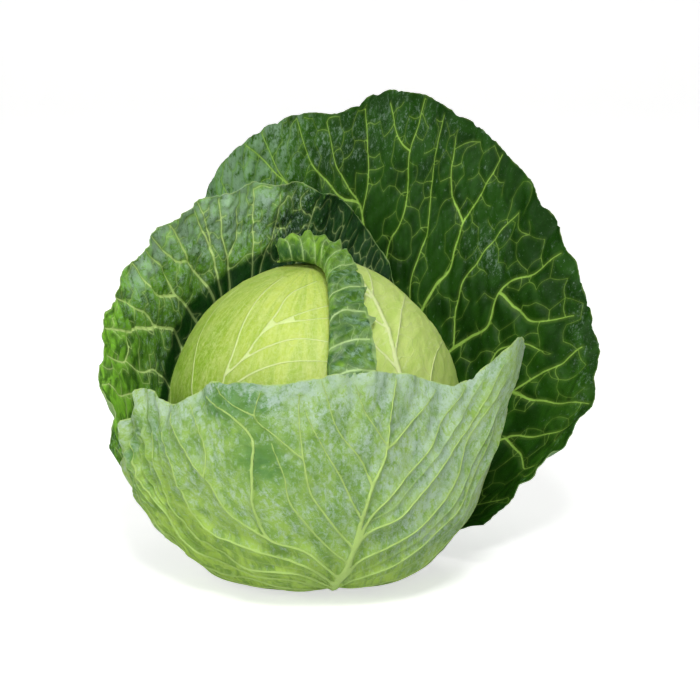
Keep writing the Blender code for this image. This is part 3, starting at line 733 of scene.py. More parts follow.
def noise(tree, size, detail=3.0, distortion=0.0, roughness=0.55, offset=0.0, over="leafFlat"):
    # noise over the flat leaf, its grain `size` millimetres
    node = addNode(tree, "ShaderNodeTexNoise", noise_dimensions="4D" if offset else "3D")
    feed(tree, node.inputs["Vector"], marked(tree, over, "Vector"))
    linked = isinstance(size, bpy.types.NodeSocket)
    feed(tree, node.inputs["Scale"], calc(tree, "DIVIDE", 1.0, size) if linked else 1.0 / size)
    for key, value in (("Detail", detail), ("Distortion", distortion), ("Roughness", roughness)):
        feed(tree, node.inputs[key], value)
    if offset:
        feed(tree, node.inputs["W"], offset)
    return node.outputs["Fac"]


def startGroup(name, second, **inputs):
    # a group that takes a colour and more, and gives a colour and one value
    group = bpy.data.node_groups.new(name, "ShaderNodeTree")
    for key, value in dict(Colour=(0.0, 0.2, 0.0), **inputs).items():
        kind = "NodeSocketColor" if isinstance(value, tuple) else "NodeSocketFloat"
        socket = group.interface.new_socket(key.replace("_", " "), in_out="INPUT", socket_type=kind)
        socket.default_value = (*value, 1) if isinstance(value, tuple) else value
    group.interface.new_socket("Colour", in_out="OUTPUT", socket_type="NodeSocketColor")
    group.interface.new_socket(second, in_out="OUTPUT", socket_type="NodeSocketFloat")
    return group, group.nodes.new("NodeGroupInput").outputs, group.nodes.new("NodeGroupOutput").inputs


def veinPaint():
    # paints the veins: the distance to their edge comes with the mesh
    tree, given, out = startGroup(
        "leaf veins", "Mask", Vein_Colour=(0.6, 0.8, 0.3), Spread=0.0, Softness=0.25, Strength=1.0, Halo=0.2,
    )
    wobble = times(tree, calc(tree, "SUBTRACT", noise(tree, 3.0, 2.0), 0.5), 0.5)
    edge = calc(tree, "SUBTRACT", marked(tree, "veinEdge"), given["Spread"])
    edge = calc(tree, "ADD", edge, wobble)
    line = ramp(tree, edge, given["Softness"], times(tree, given["Softness"], -1.0))
    halo = ramp(tree, edge, 2.4, 0.0, (0.0, given["Halo"]), "LINEAR")
    mask = times(tree, calc(tree, "MAXIMUM", line, halo), marked(tree, "veinTone"), given["Strength"])
    feed(tree, out["Colour"], blend(tree, mask, given["Colour"], given["Vein Colour"]))
    feed(tree, out["Mask"], mask)
    return tree


def netPaint():
    # the finest veins, a net of cells a few millimetres wide
    tree, given, out = startGroup(
        "fine net", "Mask", Line_Colour=(0.4, 0.6, 0.2), Cell_Size=3.5, Line_Width=0.1, Strength=0.3,
    )
    bent = addNode(tree, "ShaderNodeVectorMath", operation="MULTIPLY_ADD")
    swirl = addNode(tree, "ShaderNodeTexNoise")
    flat = marked(tree, "leafFlat", "Vector")
    feed(tree, swirl.inputs["Vector"], flat)
    feed(tree, swirl.inputs["Scale"], 0.22)
    for socket, value in zip(bent.inputs, (swirl.outputs["Color"], (3.0, 3.0, 0.0), flat)):
        feed(tree, socket, value)
    cells = addNode(tree, "ShaderNodeTexVoronoi", feature="DISTANCE_TO_EDGE", voronoi_dimensions="2D")
    feed(tree, cells.inputs["Vector"], bent.outputs[0])
    feed(tree, cells.inputs["Scale"], calc(tree, "DIVIDE", 1.0, given["Cell Size"]))
    line = ramp(tree, cells.outputs["Distance"], given["Line Width"], 0.0)
    mask = times(tree, line, given["Strength"], ramp(tree, noise(tree, 14.0), 0.35, 0.6))
    feed(tree, out["Colour"], blend(tree, mask, given["Colour"], given["Line Colour"]))
    feed(tree, out["Mask"], mask)
    return tree


def mottlePaint():
    # uneven depth of green: broad drifts and small flecks
    tree, given, out = startGroup(
        "leaf mottle", "Height", Drift_Colour=(0.0, 0.1, 0.0), Drift_Size=28.0, Drift=0.4,
        Fleck_Colour=(0.2, 0.4, 0.1), Fleck_Size=2.2, Flecks=0.2,
    )
    streak = noise(tree, given["Drift Size"], 4.0, 0.8, over="leafRay")
    broad = times(tree, ramp(tree, streak, 0.4, 0.62), given["Drift"])
    small = noise(tree, given["Fleck Size"], 4.0, 0.4, 0.7)
    fleck = times(tree, ramp(tree, small, 0.45, 0.72), given["Flecks"])
    first = blend(tree, broad, given["Colour"], given["Drift Colour"])
    feed(tree, out["Colour"], blend(tree, fleck, first, given["Fleck Colour"]))
    feed(tree, out["Height"], small)
    return tree


def bloomPaint():
    # the waxy bloom that dulls and pales a leaf, rubbed thin in patches and gone along the veins
    tree, given, out = startGroup(
        "waxy bloom", "Mask", Bloom_Colour=(0.6, 0.7, 0.7), Patch_Size=9.0, Amount=0.5, Beside_Veins=0.3,
    )
    broad = ramp(tree, noise(tree, 22.0, 3.0, 0.6, 0.55, 5.0), 0.34, 0.6, (0.7, 1.0))
    # where the leaf has more bloom it covers more of it, rather than lying thicker
    level = calc(tree, "SUBTRACT", 0.64, times(tree, marked(tree, "bloom"), 0.27))
    above = calc(tree, "ADD", level, 0.07)
    streak = ramp(tree, noise(tree, given["Patch Size"], 8.0, 0.3, 0.72, 3.0, "leafRay"), level, above)
    flake = ramp(tree, noise(tree, 2.4, 8.0, 0.4, 0.75, 7.0), level, above)
    both = calc(tree, "ADD", times(tree, streak, 0.55), times(tree, flake, 0.45))
    speck = ramp(tree, noise(tree, 1.1, 2.0, 0.3, 0.6, 9.0), 0.3, 0.7, (0.75, 1.0))
    nearVein = ramp(tree, marked(tree, "veinEdge"), 0.1, 2.6, (given["Beside Veins"], 1.0))
    mask = times(tree, both, broad, speck, nearVein, given["Amount"])
    feed(tree, out["Colour"], blend(tree, mask, given["Colour"], given["Bloom Colour"]))
    feed(tree, out["Mask"], mask)
    return tree


groups = dict(veins=veinPaint(), net=netPaint(), mottle=mottlePaint(), bloom=bloomPaint())
print("shader groups ready")


def useGroup(tree, group, *values):
    # the values go to the group's inputs in their order, the colour beneath first
    node = addNode(tree, "ShaderNodeGroup", node_tree=groups[group])
    for socket, value in zip(node.inputs, values):
        feed(tree, socket, value)
    return node.outputs


def startMaterial(name):
    made = bpy.data.materials.new(name)
    made.use_nodes = True
    return made, made.node_tree, made.node_tree.nodes["Principled BSDF"].inputs


def addBump(tree, height, distance, strength=1.0):
    bump = addNode(tree, "ShaderNodeBump")
    for key, value in (("Height", height), ("Distance", distance), ("Strength", strength)):
        feed(tree, bump.inputs[key], value)
    return bump.outputs["Normal"]


def leafMaterial(name, look):
    # a look's drift, fleck, net, bloom and vein hold a colour and then the numbers that their group takes
    made, tree, paint = startMaterial(name)
    colour = blend(tree, marked(tree, "deep"), look["pale"], look["deep"])
    # flecks and fine net fade where the green is deep
    fade = ramp(tree, marked(tree, "deep"), 0.0, 1.0, (1.0, 0.2), "LINEAR")
    *fleck, flecks = look["fleck"]
    *line, lines = look["net"]
    mottle = useGroup(tree, "mottle", colour, *look["drift"], *fleck, times(tree, fade, flecks))
    net = useGroup(tree, "net", mottle["Colour"], *line, times(tree, fade, lines))
    bloom = useGroup(tree, "bloom", net["Colour"], *look["bloom"])
    veins = useGroup(tree, "veins", bloom["Colour"], *look["vein"], look["halo"])
    # the last millimetre of the margin is pale
    rim = ramp(tree, marked(tree, "toMargin"), 1.4, 0.0, (0.0, look["rim"][1]))
    feed(tree, paint["Base Color"], blend(tree, rim, veins["Colour"], look["rim"][0]))
    rough = ramp(tree, bloom["Mask"], 0.0, 0.7, look["rough"])
    feed(tree, paint["Roughness"], calc(tree, "ADD", rough, times(tree, mottle["Height"], 0.08)))
    height = times(tree, veins["Mask"], look["relief"][0])
    height = calc(tree, "ADD", height, times(tree, net["Mask"], look["relief"][1]))
    height = calc(tree, "ADD", height, times(tree, mottle["Height"], look["relief"][2]))
    feed(tree, paint["Normal"], addBump(tree, height, 0.001, 0.8))
    for key, value in (("Specular IOR Level", look["gloss"]), ("Subsurface Weight", look["glow"]),
                       ("Subsurface Radius", (0.6, 1.0, 0.3)), ("Subsurface Scale", 0.004)):
        feed(tree, paint[key], value)
    return made


# an open leaf's run and belly are (distance out, height) of the points that steer its rays off the stem, and
# gap is what it keeps from the heart; waves, lobes and crinkles lift the margin; crease and ribs follow veins
frontLeaf = dict(
    azimuth=25, spread=40, hand=1, rootZ=12, run=(46, 4), belly=(87, 1), fuller=14, keel=7, gap=10.5,
    rimGap=4.0, foldGap=(14, 13), scallop=1.6, seed=3,
    # (fan angle, shoulder, margin): where the ray at that angle turns up, and where it ends
    stations=(
        (-95, (-63, -5, 13), (-71, 2, 19)), (-78, (-85, -14, 24), (-89, -6, 33)),
        (-62, (-101, -26, 46), (-105, -12, 63)), (-46, (-108, -42, 66), (-110, -22, 94)),
        (-34, (-100, -58, 92), (-96, -34, 125)), (-22, (-80, -84, 92), (-73, -62, 124)),
        (-16, (-64, -95, 92), (-60, -68, 136)), (-9, (-44, -103, 92), (-44, -72, 139)),
        (0, (-14, -106, 92), (-10, -73, 137)), (8, (10, -106, 92), (12, -72, 141)),
        (28, (60, -96, 92), (57, -63, 140)), (42, (92, -74, 92), (87, -58, 136)),
        (54, (106, -52, 98), (123, -38, 157)), (66, (100, -16, 74), (108, 2, 108)),
        (82, (92, 5, 40), (90, 12, 54)), (98, (74, 5, 16), (70, 10, 24)),
    ),
    # (height, length along the margin, part of the way out where it starts, fan angle, reach)
    waves=(
        (5.0, 30, 0.7, -66, 26), (1.6, 24, 0.85, -10, 40), (1.6, 34, 0.8, 70, 24), (2.4, 13, 0.76, -42, 12),
        (1.2, 7.5, 0.84, -45, 13),
    ),
    wander=0.4, grain=62,
    lobeCup=0.5, crinkle=0.5, swell=1.4, crease=2.4, creaseReach=0.9, ribRise=1.6,
    # patches: (fan angle, part of the way out, reach of each, amount); a blister has its wavelength too
    pleats=((-42, 0.75, 18, 0.45, 1.0), (45, 0.75, 12, 0.4, 0.25)),
    dents=(
        (-10, 0.96, 4, 0.05, 4.0), (-16, 0.97, 3, 0.06, -3.0),
        (-5, 0.79, 3, 0.09, -3.0), (-9, 0.8, 3, 0.09, 2.0),
    ),
    blisters=(
        (-9, 0.94, 7, 0.07, 2.0, 9), (-5, 0.76, 4, 0.12, 1.0, 8), (-40, 0.88, 12, 0.13, 1.8, 12),
        (0, 0.85, 60, 0.2, 0.8, 11), (-40, 0.6, 30, 0.25, 0.7, 14),
    ),
    deep=(0.46, (
        (0, 0.2, 90, 0.2, -0.45), (-42, 0.42, 30, 0.25, -0.4),
        (10, 0.6, 14, 0.2, 0.15), (-9, 0.95, 6, 0.055, 1.2),
        (-5, 0.77, 3.5, 0.07, 0.8), (-38, 0.9, 3, 0.025, 0.8), (-43, 0.87, 3, 0.025, 0.8),
        (-30, 0.86, 3, 0.05, 0.6), (-48, 0.82, 3, 0.04, 0.6),
        (-62, 0.5, 25, 0.4, -0.4), (25, 0.95, 25, 0.08, 0.1),
    )),
    bloom=(0.56, (
        (34, 0.75, 18, 0.3, 0.22), (0, 0.98, 50, 0.06, 0.3),
        (-9, 0.94, 5, 0.05, -0.5), (-5, 0.78, 4, 0.08, -0.4),
        (-62, 0.4, 26, 0.4, -0.45), (0, 0.2, 80, 0.2, -0.3), (-38, 0.38, 28, 0.2, -0.35),
    )),
    # (half width at the root, half width at the tip, route of (fan angle, part of the way out))
    veins=(
        (2.1, 0.5, (
            (0, 0), (4, 0.28), (9, 0.39), (13, 0.55), (16, 0.67), (19, 0.76), (20, 0.86), (22, 0.98),
        )),
        (0.8, 0.35, ((20, 0.77), (25, 0.84), (34, 0.97))),
        (0.9, 0.35, ((10, 0.45), (17, 0.59), (23, 0.67), (31, 0.78), (35, 0.88), (42, 0.98))),
        (0.9, 0.35, ((7, 0.35), (14, 0.5), (25, 0.59), (32, 0.69), (37, 0.78), (43, 0.86), (49, 0.96))),
        (0.9, 0.35, ((5, 0.28), (13, 0.4), (26, 0.49), (34, 0.59), (39, 0.69), (42, 0.8), (50, 0.9))),
        (0.9, 0.35, ((3, 0.2), (12, 0.31), (25, 0.38), (34, 0.48), (44, 0.62), (50, 0.78))),
        (0.8, 0.3, ((2, 0.14), (18, 0.24), (36, 0.33), (50, 0.46), (60, 0.64), (66, 0.85))),
        (0.7, 0.3, ((1, 0.1), (24, 0.16), (50, 0.26), (68, 0.45), (76, 0.75))),
        (0.6, 0.3, ((18, 0.79), (14, 0.88), (12, 0.96))),
        (0.7, 0.3, ((15, 0.67), (13, 0.74), (9, 0.82), (7, 0.92), (6, 0.98))),
        (0.7, 0.3, ((12, 0.56), (8, 0.71), (6, 0.78), (3, 0.91))),
        (0.8, 0.35, ((9, 0.46), (4, 0.59), (2, 0.67), (2, 0.76), (2, 0.88), (2, 0.96))),
        (0.5, 0.3, ((2, 0.77), (-2, 0.84), (-5, 0.9), (-4, 0.97))),
        (0.45, 0.3, ((-5, 0.9), (-8, 0.93), (-11, 0.98))),
        (0.7, 0.3, ((6, 0.4), (0, 0.54), (-2, 0.62), (-2, 0.72), (-3, 0.82))),
        (1.0, 0.5, (
            (4, 0.31), (-2, 0.44), (-9, 0.51), (-9, 0.62), (-7, 0.74), (-6, 0.84), (-8, 0.89), (-14, 0.96),
        )),
        (0.8, 0.45, ((-9, 0.51), (-15, 0.59), (-18, 0.74), (-21, 0.86), (-23, 0.97))),
        (0.6, 0.35, ((-18, 0.74), (-16, 0.8), (-17, 0.88), (-19, 0.97))),
        (1.0, 0.5, ((3, 0.26), (-5, 0.39), (-18, 0.5), (-27, 0.57), (-26, 0.7), (-26, 0.9))),
        (1.0, 0.5, ((2, 0.22), (-9, 0.35), (-26, 0.42), (-34, 0.49), (-37, 0.59), (-36, 0.7), (-31, 0.86))),
        (1.0, 0.55, ((1, 0.18), (-12, 0.31), (-36, 0.38), (-43, 0.51), (-42, 0.66), (-43, 0.78), (-41, 0.9))),
        (1.0, 0.55, ((0, 0.14), (-20, 0.26), (-44, 0.35), (-54, 0.5), (-53, 0.66), (-50, 0.85))),
        (0.9, 0.5, ((-1, 0.11), (-24, 0.2), (-52, 0.3), (-64, 0.48), (-63, 0.68), (-58, 0.88))),
        (0.9, 0.4, ((-1, 0.08), (-30, 0.14), (-62, 0.24), (-76, 0.44), (-76, 0.75))),
    ),
    # more folds run between neighbouring side veins: (first, second, share), by place in the list above
    folds=(
        (18, 19, 0.5), (19, 20, 0.33), (19, 20, 0.67), (20, 21, 0.25), (20, 21, 0.5), (20, 21, 0.75),
        (21, 22, 0.33), (21, 22, 0.67), (22, 23, 0.33), (22, 23, 0.67), (2, 3, 0.5), (4, 5, 0.6), (5, 6, 0.4),
    ),
    net=dict(cell=22, thin=0.1, thick=0.3, grow=0.3, tone=0.4, open=0.3),
    under=dict(
        pale=(0.44, 0.66, 0.09), deep=(0.11, 0.27, 0.06), drift=((0.11, 0.26, 0.03), 7.0, 0.65),
        fleck=((0.42, 0.56, 0.26), 1.8, 0.25), net=((0.42, 0.60, 0.22), 4.0, 0.12, 0.2),
        bloom=((0.56, 0.69, 0.68), 1.6, 0.62, 0.7), vein=((0.46, 0.66, 0.18), -0.05, 0.2, 1.0), halo=0.06,
        rim=((0.45, 0.62, 0.16), 0.7), rough=(0.42, 0.56), relief=(0.9, 0.35, 0.5), gloss=0.35, glow=0.06,
    ),
    upper=dict(
        pale=(0.36, 0.58, 0.06), deep=(0.14, 0.34, 0.04), drift=((0.12, 0.30, 0.03), 30.0, 0.4),
        fleck=((0.34, 0.52, 0.12), 2.4, 0.2), net=((0.42, 0.62, 0.16), 4.0, 0.12, 0.3),
        bloom=((0.40, 0.55, 0.38), 4.0, 0.35, 0.4), vein=((0.55, 0.74, 0.22), 0.1, 0.25, 0.95), halo=0.2,
        rim=((0.50, 0.66, 0.18), 0.7), rough=(0.36, 0.5), relief=(-0.5, 0.3, 0.3), gloss=0.5, glow=0.05,
    ),
)

leftLeaf = dict(
    azimuth=-120, spread=35, hand=-1, rootZ=12, run=(50, 8), belly=(80, 22), fuller=0, keel=3, gap=5.5,
    scallop=1.5, seed=5,
    stations=(
        (-90, (-104, 0, 47), (-121, -6, 79)), (-81, (-104, 5, 60), (-118, -5, 98)),
        (-72, (-107, 10, 74), (-124, -3, 118)), (-54, (-103, 30, 112), (-118, 4, 166)),
        (-36, (-90, 50, 140), (-96, 20, 199)), (-18, (-70, 75, 150), (-66, 50, 217)),
        (0, (-35, 94, 160), (-28, 70, 224)), (20, (0, 100, 158), (12, 86, 214)),
        (42, (24, 95, 145), (34, 94, 189)),
        (66, (46, 80, 108), (51, 84, 156)), (90, (52, 70, 62), (58, 70, 88)),
    ),
    waves=((2.6, 34, 0.74, -30, 70), (1.8, 27, 0.8, 30, 60)),
    lobeCup=0.6, crinkle=0.5, swell=1.0, crease=2.3, creaseReach=1.35, ribRise=1.3,
    blisters=((-45, 0.88, 34, 0.2, 1.4, 14), (0, 0.9, 30, 0.12, 0.9, 12)),
    wander=1.0, grain=130,
    # painted shade: along the crevice beside the heart the leaf is painted dark: (fan angle, part of the way
    # out) along that band
    paintedShade=(
        (-75, 0.38), (-50, 0.48), (-38, 0.57), (-30, 0.65), (-20, 0.7),
        (-9, 0.74), (4, 0.79), (20, 0.84), (50, 0.84),
    ),
    # deep patches: painted light and shade of the leaf's curl, a darker band across the middle, a paler
    # margin and upper left, and painted shade on the right part (fan 22 and 46), which turns away from the
    # light
    deep=(0.44, (
        (-45, 0.72, 45, 0.12, 0.25), (-45, 0.98, 60, 0.06, -0.15), (22, 0.93, 12, 0.2, 0.7),
        (-66, 0.8, 14, 0.3, -0.3), (-50, 0.95, 14, 0.08, -0.15), (46, 0.9, 24, 0.5, 1.2),
        (8, 0.88, 8, 0.06, 0.4), (-30, 0.98, 40, 0.06, -0.1),
    )),
    # the patch at fan 46 keeps bloom out of the painted shade on the right part
    bloom=(0.45, (
        (-4, 0.97, 9, 0.05, 0.5), (-26, 0.96, 16, 0.07, 0.5),
        (-10, 0.87, 12, 0.05, 0.3), (24, 0.95, 9, 0.05, -0.1),
        (-44, 0.93, 10, 0.06, 0.3), (46, 0.85, 22, 0.6, -0.9), (-66, 0.8, 18, 0.3, -0.4),
    )),
    veins=(
        (2.2, 0.35, ((0, 0), (-2, 0.3), (-5, 0.6), (-8, 0.76), (-12, 0.9), (-13, 0.99))),
        (0.5, 0.3, ((-9, 0.82), (-7, 0.86), (-8, 0.94))),
        (1.25, 0.4, ((-4, 0.5), (-9, 0.68), (-12, 0.78), (-14, 0.84), (-20, 0.98))),
        (0.6, 0.3, ((-14, 0.84), (-16, 0.92), (-19, 1.0))),
        (1.35, 0.4, ((-3, 0.42), (-10, 0.65), (-15, 0.76), (-22, 0.84), (-25, 0.91), (-29, 1.0))),
        (0.7, 0.3, ((-23, 0.86), (-27, 0.88), (-31, 0.93), (-34, 1.0))),
        (1.35, 0.4, ((-3, 0.34), (-14, 0.6), (-22, 0.73), (-28, 0.79), (-31, 0.86), (-38, 0.99))),
        (0.8, 0.3, ((-28, 0.79), (-37, 0.85), (-40, 0.91), (-43, 1.0))),
        (1.35, 0.4, ((-2, 0.27), (-20, 0.55), (-30, 0.71), (-38, 0.76), (-43, 0.84), (-52, 0.99))),
        (1.1, 0.4, ((-38, 0.76), (-49, 0.84), (-52, 0.87), (-60, 1.0))),
        (0.6, 0.3, ((-52, 0.86), (-56, 0.82), (-64, 0.97))),
        (0.9, 0.3, ((-2, 0.2), (-28, 0.5), (-42, 0.66), (-52, 0.74), (-56, 0.82))),
        (0.9, 0.3, ((-1, 0.14), (-35, 0.46), (-53, 0.68), (-65, 0.83), (-68, 0.92))),
        (0.8, 0.3, ((-1, 0.1), (-40, 0.4), (-62, 0.68), (-74, 0.87))),
        (0.7, 0.3, ((0, 0.07), (-50, 0.35), (-74, 0.62), (-84, 0.85))),
        (0.8, 0.35, ((-3, 0.45), (-1, 0.7), (-2, 0.86), (-3, 0.98))),
        (0.7, 0.3, ((-1, 0.6), (2, 0.8), (4, 0.9), (4, 0.97))),
        (1.1, 0.4, ((-2, 0.36), (8, 0.6), (13, 0.78), (15, 0.97))),
        (1.1, 0.4, ((-1, 0.28), (16, 0.55), (25, 0.75), (29, 0.95))),
        (0.8, 0.35, ((-1, 0.2), (28, 0.45), (40, 0.68), (45, 0.92))),
        (0.8, 0.35, ((0, 0.14), (42, 0.35), (58, 0.58), (63, 0.85))),
        (0.7, 0.3, ((0, 0.09), (55, 0.28), (74, 0.5), (80, 0.8))),
    ),
    net=dict(cell=16, thin=0.2, thick=0.42, grow=0.35, tone=0.75, open=0.55),
    # the deep colour is near black, so that the painted shade beside the heart and on the right part reads as
    # shadow
    upper=dict(
        pale=(0.35, 0.78, 0.06), deep=(0.004, 0.034, 0.006), drift=((0.005, 0.050, 0.004), 7.0, 0.75),
        fleck=((0.14, 0.34, 0.08), 1.6, 0.35), net=((0.16, 0.38, 0.09), 3.6, 0.12, 0.35),
        bloom=((0.56, 0.75, 0.66), 2.0, 0.72, 0.4), vein=((0.74, 0.95, 0.36), 0.22, 0.25, 1.0), halo=0.2,
        rim=((0.36, 0.52, 0.18), 0.6), rough=(0.36, 0.5), relief=(-0.4, 0.3, 0.6), gloss=0.28, glow=0.04,
    ),
    under=dict(
        pale=(0.26, 0.44, 0.12), deep=(0.12, 0.28, 0.09), drift=((0.10, 0.24, 0.06), 30.0, 0.45),
        fleck=((0.36, 0.50, 0.22), 2.4, 0.25), net=((0.36, 0.54, 0.2), 4.0, 0.12, 0.3),
        bloom=((0.40, 0.54, 0.44), 4.0, 0.6, 0.3), vein=((0.48, 0.66, 0.22), 0.0, 0.25, 0.95), halo=0.15,
        rim=((0.36, 0.5, 0.16), 0.6), rough=(0.42, 0.56), relief=(0.9, 0.35, 0.35), gloss=0.4, glow=0.05,
    ),
)

backLeaf = dict(
    azimuth=155, spread=38, hand=-1, rootZ=12, run=(52, 6), belly=(86, 9), fuller=0, keel=8, gap=13.0,
    scallop=2.2, seed=8,
    stations=(
        (-90, (-75, 90, 110), (-80, 112, 141)), (-72, (-60, 105, 140), (-70, 118, 203)),
        (-54, (-40, 115, 150), (-48, 121, 237)), (-38, (-10, 119, 158), (-11, 121, 258)),
        (-27, (14, 119, 166), (16, 121, 259)), (-17, (32, 118, 170), (44, 119, 273)),
        (0, (60, 110, 165), (86, 106, 264)), (18, (90, 95, 155), (124, 88, 235)),
        (36, (114, 75, 130), (153, 62, 193)), (51, (130, 50, 102), (171, 36, 144)),
        (59, (133, 40, 84), (173, 24, 118)), (67, (131, 30, 66), (166, 16, 94)),
        (80, (112, 22, 38), (131, 9, 54)), (96, (86, 20, 20), (106, 10, 24)),
    ),
    waves=((3.0, 38, 0.74, -20, 80), (2.0, 29, 0.82, 50, 50)),
    lobeCup=0.9, crinkle=0.3, swell=1.0, crease=2.4, creaseReach=1.2, ribRise=1.5,
    blisters=((0, 0.85, 70, 0.3, 0.8, 16),),
    wander=1.2, grain=130,
    deep=(0.92, ((-60, 0.95, 20, 0.3, -0.7), (0, 0.15, 60, 0.2, -0.3), (66, 0.9, 10, 0.1, -0.2))),
    # on this leaf the bloom stands for painted sheen: crisp pale grey-green flakes in place of glossy
    # highlights
    bloom=(0.14, (
        (-58, 0.95, 20, 0.35, 0.8), (-14, 0.94, 24, 0.08, 0.3),
        (20, 0.8, 8, 0.06, 0.35), (55, 0.95, 18, 0.06, 0.25),
    )),
    veins=(
        (3.0, 0.3, ((0, 0), (3, 0.3), (4, 0.5), (6, 0.62), (11, 0.72), (11, 0.81), (14, 0.9), (15, 0.99))),
        (0.8, 0.27, ((11, 0.81), (6, 0.84), (3, 0.95))),
        (1.1, 0.32, ((3, 0.4), (-5, 0.55), (-11, 0.68), (-7, 0.76), (-8, 0.88), (-7, 0.99))),
        (0.6, 0.3, ((-8, 0.88), (-12, 0.91), (-15, 0.97))),
        (1.1, 0.32, ((2, 0.33), (-12, 0.57), (-20, 0.75), (-19, 0.84), (-21, 0.98))),
        (0.9, 0.27, ((-16, 0.66), (-21, 0.78), (-27, 0.88), (-30, 0.98))),
        (0.8, 0.27, ((-21, 0.78), (-31, 0.86), (-36, 0.93), (-38, 0.99))),
        (1.0, 0.3, ((1, 0.26), (-20, 0.56), (-36, 0.8), (-44, 0.91), (-47, 0.99))),
        (0.6, 0.3, ((-38, 0.84), (-47, 0.93), (-52, 1.0))),
        (0.9, 0.27, ((0, 0.2), (-34, 0.52), (-53, 0.76), (-62, 0.97))),
        (0.9, 0.27, ((-1, 0.13), (-42, 0.36), (-66, 0.6), (-76, 0.88))),
        (1.6, 0.32, ((3, 0.35), (12, 0.46), (20, 0.57), (29, 0.69), (28, 0.76), (35, 0.88), (38, 0.98))),
        (0.8, 0.3, ((20, 0.57), (16, 0.68), (20, 0.8), (24, 0.92))),
        (0.9, 0.27, ((28, 0.76), (41, 0.82), (47, 0.94))),
        (1.5, 0.32, ((2, 0.25), (20, 0.41), (35, 0.53), (44, 0.64), (50, 0.79), (53, 0.95))),
        (0.9, 0.27, ((45, 0.66), (52, 0.73), (60, 0.86), (64, 0.97))),
        (0.8, 0.27, ((38, 0.56), (36, 0.68), (42, 0.76), (46, 0.8))),
        (1.2, 0.3, ((1, 0.17), (30, 0.33), (46, 0.48), (56, 0.64), (66, 0.86), (68, 0.97))),
        (0.8, 0.27, ((54, 0.6), (62, 0.67), (72, 0.8), (75, 0.94))),
        (0.9, 0.27, ((0, 0.1), (45, 0.25), (66, 0.45), (78, 0.72), (83, 0.92))),
        (0.8, 0.27, ((0, 0.07), (58, 0.18), (80, 0.4), (88, 0.7))),
        (0.8, 0.27, ((4, 0.5), (-1, 0.62), (1, 0.74), (-1, 0.88), (-1, 0.98))),
    ),
    net=dict(cell=20, thin=0.18, thick=0.5, grow=0.35, tone=0.6, open=0.3),
    upper=dict(
        pale=(0.14, 0.38, 0.03), deep=(0.006, 0.050, 0.001), drift=((0.003, 0.024, 0.001), 12.0, 0.6),
        fleck=((0.04, 0.13, 0.03), 1.6, 0.25), net=((0.05, 0.17, 0.02), 3.4, 0.12, 0.3),
        bloom=((0.33, 0.49, 0.36), 1.8, 0.6, 0.5), vein=((0.37, 0.62, 0.10), 0.1, 0.25, 1.0), halo=0.2,
        rim=((0.16, 0.26, 0.06), 0.5), rough=(0.33, 0.45), relief=(-0.4, 0.3, 0.45), gloss=0.17, glow=0.03,
    ),
    under=dict(
        pale=(0.22, 0.40, 0.12), deep=(0.10, 0.24, 0.08), drift=((0.08, 0.2, 0.05), 30.0, 0.45),
        fleck=((0.30, 0.44, 0.2), 2.4, 0.25), net=((0.32, 0.5, 0.2), 4.0, 0.12, 0.3),
        bloom=((0.36, 0.5, 0.42), 4.0, 0.6, 0.3), vein=((0.45, 0.64, 0.22), 0.0, 0.25, 0.95), halo=0.15,
        rim=((0.3, 0.44, 0.14), 0.6), rough=(0.42, 0.56), relief=(0.9, 0.35, 0.35), gloss=0.4, glow=0.05,
    ),
)

# the wrapper leaf's veins that cross its fold, from the foot up: where each starts across the flat part,
# where it bends on the turned part, and then how far up the leaf its five corners lie
crossing = (
    (0.45, -0.5, 0.12, 0.22, 0.29, 0.3, 0.28),
    (0.42, -0.5, 0.2, 0.3, 0.35, 0.36, 0.35),
    (0.4, -0.5, 0.26, 0.36, 0.4, 0.415, 0.405),
    (0.38, -0.5, 0.33, 0.41, 0.46, 0.47, 0.46),
    (0.36, -0.4, 0.4, 0.47, 0.51, 0.535, 0.52),
    (0.35, -0.5, 0.48, 0.54, 0.58, 0.6, 0.59),
    (0.34, -0.4, 0.56, 0.62, 0.65, 0.67, 0.66),
    (0.33, -0.5, 0.64, 0.69, 0.71, 0.72, 0.72),
    (0.33, -0.5, 0.7, 0.74, 0.76, 0.775, 0.77),
    (0.34, -0.5, 0.76, 0.79, 0.81, 0.82, 0.83),
    (0.36, -0.5, 0.82, 0.85, 0.87, 0.88, 0.89),
    (0.4, -0.5, 0.88, 0.91, 0.93, 0.94, 0.95),
)


def crossingVeins():
    rows = []
    for k, (start, bend, *ups) in enumerate(crossing):
        wide = (0.7, 0.4) if k < 4 else (0.6, 0.35)
        rows.append((*wide, tuple(zip(ups, (start, 0.2, 0.02, bend, -0.95)))))
    return rows


